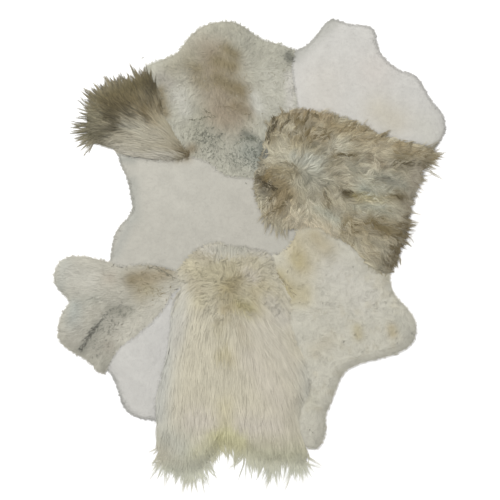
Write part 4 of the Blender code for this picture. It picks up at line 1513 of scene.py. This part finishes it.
CREAM_WISPS = [
    Wisp(-34.5, -77, 246, 8.5),
    Wisp(-33.5, -78.5, 248, 10.5),
    Wisp(-32, -79.5, 243, 12.5),
    Wisp(-30, -81, 266, 11),
    Wisp(-26, -81.5, 284, 16),
    Wisp(-24.5, -81.5, 274, 15),
    Wisp(-23, -81.5, 268, 14),
    Wisp(-22, -81.5, 290, 13),
    Wisp(-20, -81, 295, 11.5),
    Wisp(-13, -71, 264, 10.5),
    Wisp(-11, -70.5, 268, 10),
    Wisp(-9, -70.5, 272, 10.5),
    Wisp(-7, -71, 270, 11.5),
    Wisp(-5, -72, 276, 12.5),
    Wisp(-3, -73.5, 276, 14),
    Wisp(-0.5, -77, 274, 13),
    Wisp(1.5, -77.5, 285, 10.5),
    Wisp(6, -78.5, 268, 14),
    Wisp(9, -78.5, 272, 15),
    Wisp(11, -78.5, 266, 13),
    Wisp(13, -78.5, 257, 10),
    Wisp(16, -78.5, 275, 13.5),
    Wisp(18, -78.5, 272, 14.5),
    Wisp(19, -77.5, 272, 13),
    Wisp(19.5, -78, 278, 11.5),
]
CREAM_STROKES = [
    Stroke([(5, 1), (10, -6), (15, -12), (18, -16)], "857C60", 2.5),
    Stroke([(-15, -25), (-11, -24), (-7, -26)], "9A917B", 1.5),
    Stroke([(-13, -27), (-10, -29), (-8, -31)], "A69D87", 3),
    Stroke([(-7, -8), (-4, -12), (-5, -16)], "8E8466", 3),
    Stroke([(-20, 2), (-17, 0), (-15, -4)], "A29A80", 2),
    Stroke([(-10, -39), (-8, -42), (-7, -46)], "A39976", 3),
    Stroke([(16, -36), (21, -46), (24, -54)], "A8A291", 3),
    Stroke([(12, -34), (17, -44), (20, -52)], "ABA594", 4),
    Stroke([(8, -16), (13, -24), (16, -30)], "A59E8A", 4),
]
CROWN_AREAS = ((-8.7, -13, 11), (-20, -2, 8), (2, -3, 9), (10, -14, 7))


def crown_lay(places):
    """The comb's own lay, turned this way and that into curls."""
    heading, length, over = cream_lay(places)
    heading = heading + 1.1 * mottle(places[:, 0], places[:, 1], 3.2 * CM, 118)
    return heading, length, over * 0.7


def cream_dye(x, y, along, lock, hair):
    spread = (lock - 0.5) * 0.03
    colour = patched(tone("C0BAA6"), CREAM_PATCHES, x + 0.3 * spread, y + spread)
    shade = 1 + 0.11 * (hair - 0.5) + 0.08 * (lock - 0.5) + 0.04 * mottle(x, y, 5 * CM, 121)
    # Painted light: lighter past the foot, where the thin tips lie over the white floor.
    shade = shade * (1 + 0.10 * smooth(y, -0.78, -0.90))
    return colour * (0.88 * shade * (0.98 + 0.08 * along))[..., None]


silky_wool = wool_material("silky_wool", 0.12, 0.3, 300)
under_wool("cream_skin", 11 * MM, cream_dye, silky_wool)
cream_lay = combed_lay(CREAM_COMB)
roots = scattered("cream_skin", 19 * MM, 110, 5 * MM)
grow("cream_skin_under_locks", "cream_skin", roots, cream_lay, CREAM_UNDER_LOCK, cream_dye, 111, silky_wool)
roots = scattered("cream_skin", 20 * MM, 112, 5 * MM)
grow("cream_skin_locks", "cream_skin", roots, cream_lay, CREAM_LOCK, cream_dye, 113, silky_wool)
roots, _ = rim_roots("cream_skin", 5 * MM, 3.5 * CM)
grow("cream_skin_foot", "cream_skin", roots, cream_lay, CREAM_FRINGE, cream_dye, 115, silky_wool)
set_wisps("cream_skin_wisps", "cream_skin", CREAM_WISPS, CREAM_WISP, cream_dye, 114, silky_wool, 11, 1.0)
edge_hair("cream_skin", cream_lay, 3.0 * CM, cream_dye, 120, silky_wool)
roots = scattered("cream_skin", 17 * MM, 116, 1 * CM)
draw_strokes("cream_skin_dark_hair", "cream_skin", CREAM_STROKES, cream_dye, 119, silky_wool)
near = np.min([np.hypot(*(roots - np.array(c[:2]) * CM).T) / (c[2] * CM) for c in CROWN_AREAS], axis=0)
grow("cream_skin_crown", "cream_skin", roots[near < 1], crown_lay, CROWN_CURL, cream_dye, 117, silky_wool)


# The leather and its wool
# Each hide is a flat slab, and its under-wool and the wool that grows out of it are gathered in a list with it.

for node, (hide, area) in hides.items():
    carried = [bpy.data.objects[node + "_under_wool"], *wool_on[node]]


# The studio
# A plain white floor under soft even light, with the camera straight above the rug.

CAMERA_HEIGHT = 6.0
FRAME_WIDTH = 2.0
SENSOR = 36.0


def floor_material():
    material, tones, sockets = new_material("studio_floor", 0, 0.5)
    join(tones, {"Base Color": (0.93, 0.93, 0.93, 1), "Roughness": 0.9}, sockets)
    return material


floor = mesh_object(
    "studio_floor", [(-40, -40, 0), (40, -40, 0), (40, 40, 0), (-40, 40, 0)], [(0, 1, 2, 3)], floor_material()
)

world = bpy.data.worlds.new("studio_light")
world.use_nodes = True
world.node_tree.nodes["Background"].inputs["Color"].default_value = (1, 1, 1, 1)
world.node_tree.nodes["Background"].inputs["Strength"].default_value = 0.88
bpy.context.scene.world = world


def area_light(name, place, size, power):
    lamp = bpy.data.lights.new(name, "AREA")
    lamp.shape = "DISK"
    lamp.size = size
    lamp.energy = power
    light = bpy.data.objects.new(name, lamp)
    light.location = place
    light.rotation_euler = (-Vector(place)).to_track_quat("-Z", "Y").to_euler()
    bpy.context.scene.collection.objects.link(light)


area_light("window_light", (-2.4, 3.0, 4.0), 2.4, 230)

camera = bpy.data.cameras.new("overhead")
camera.sensor_width = SENSOR
camera.lens = SENSOR * (CAMERA_HEIGHT - 0.03) / FRAME_WIDTH
overhead = bpy.data.objects.new("overhead", camera)
overhead.location = (0.001, 0.0236, CAMERA_HEIGHT)
bpy.context.scene.collection.objects.link(overhead)
bpy.context.scene.camera = overhead
bpy.context.scene.view_settings.view_transform = "Standard"
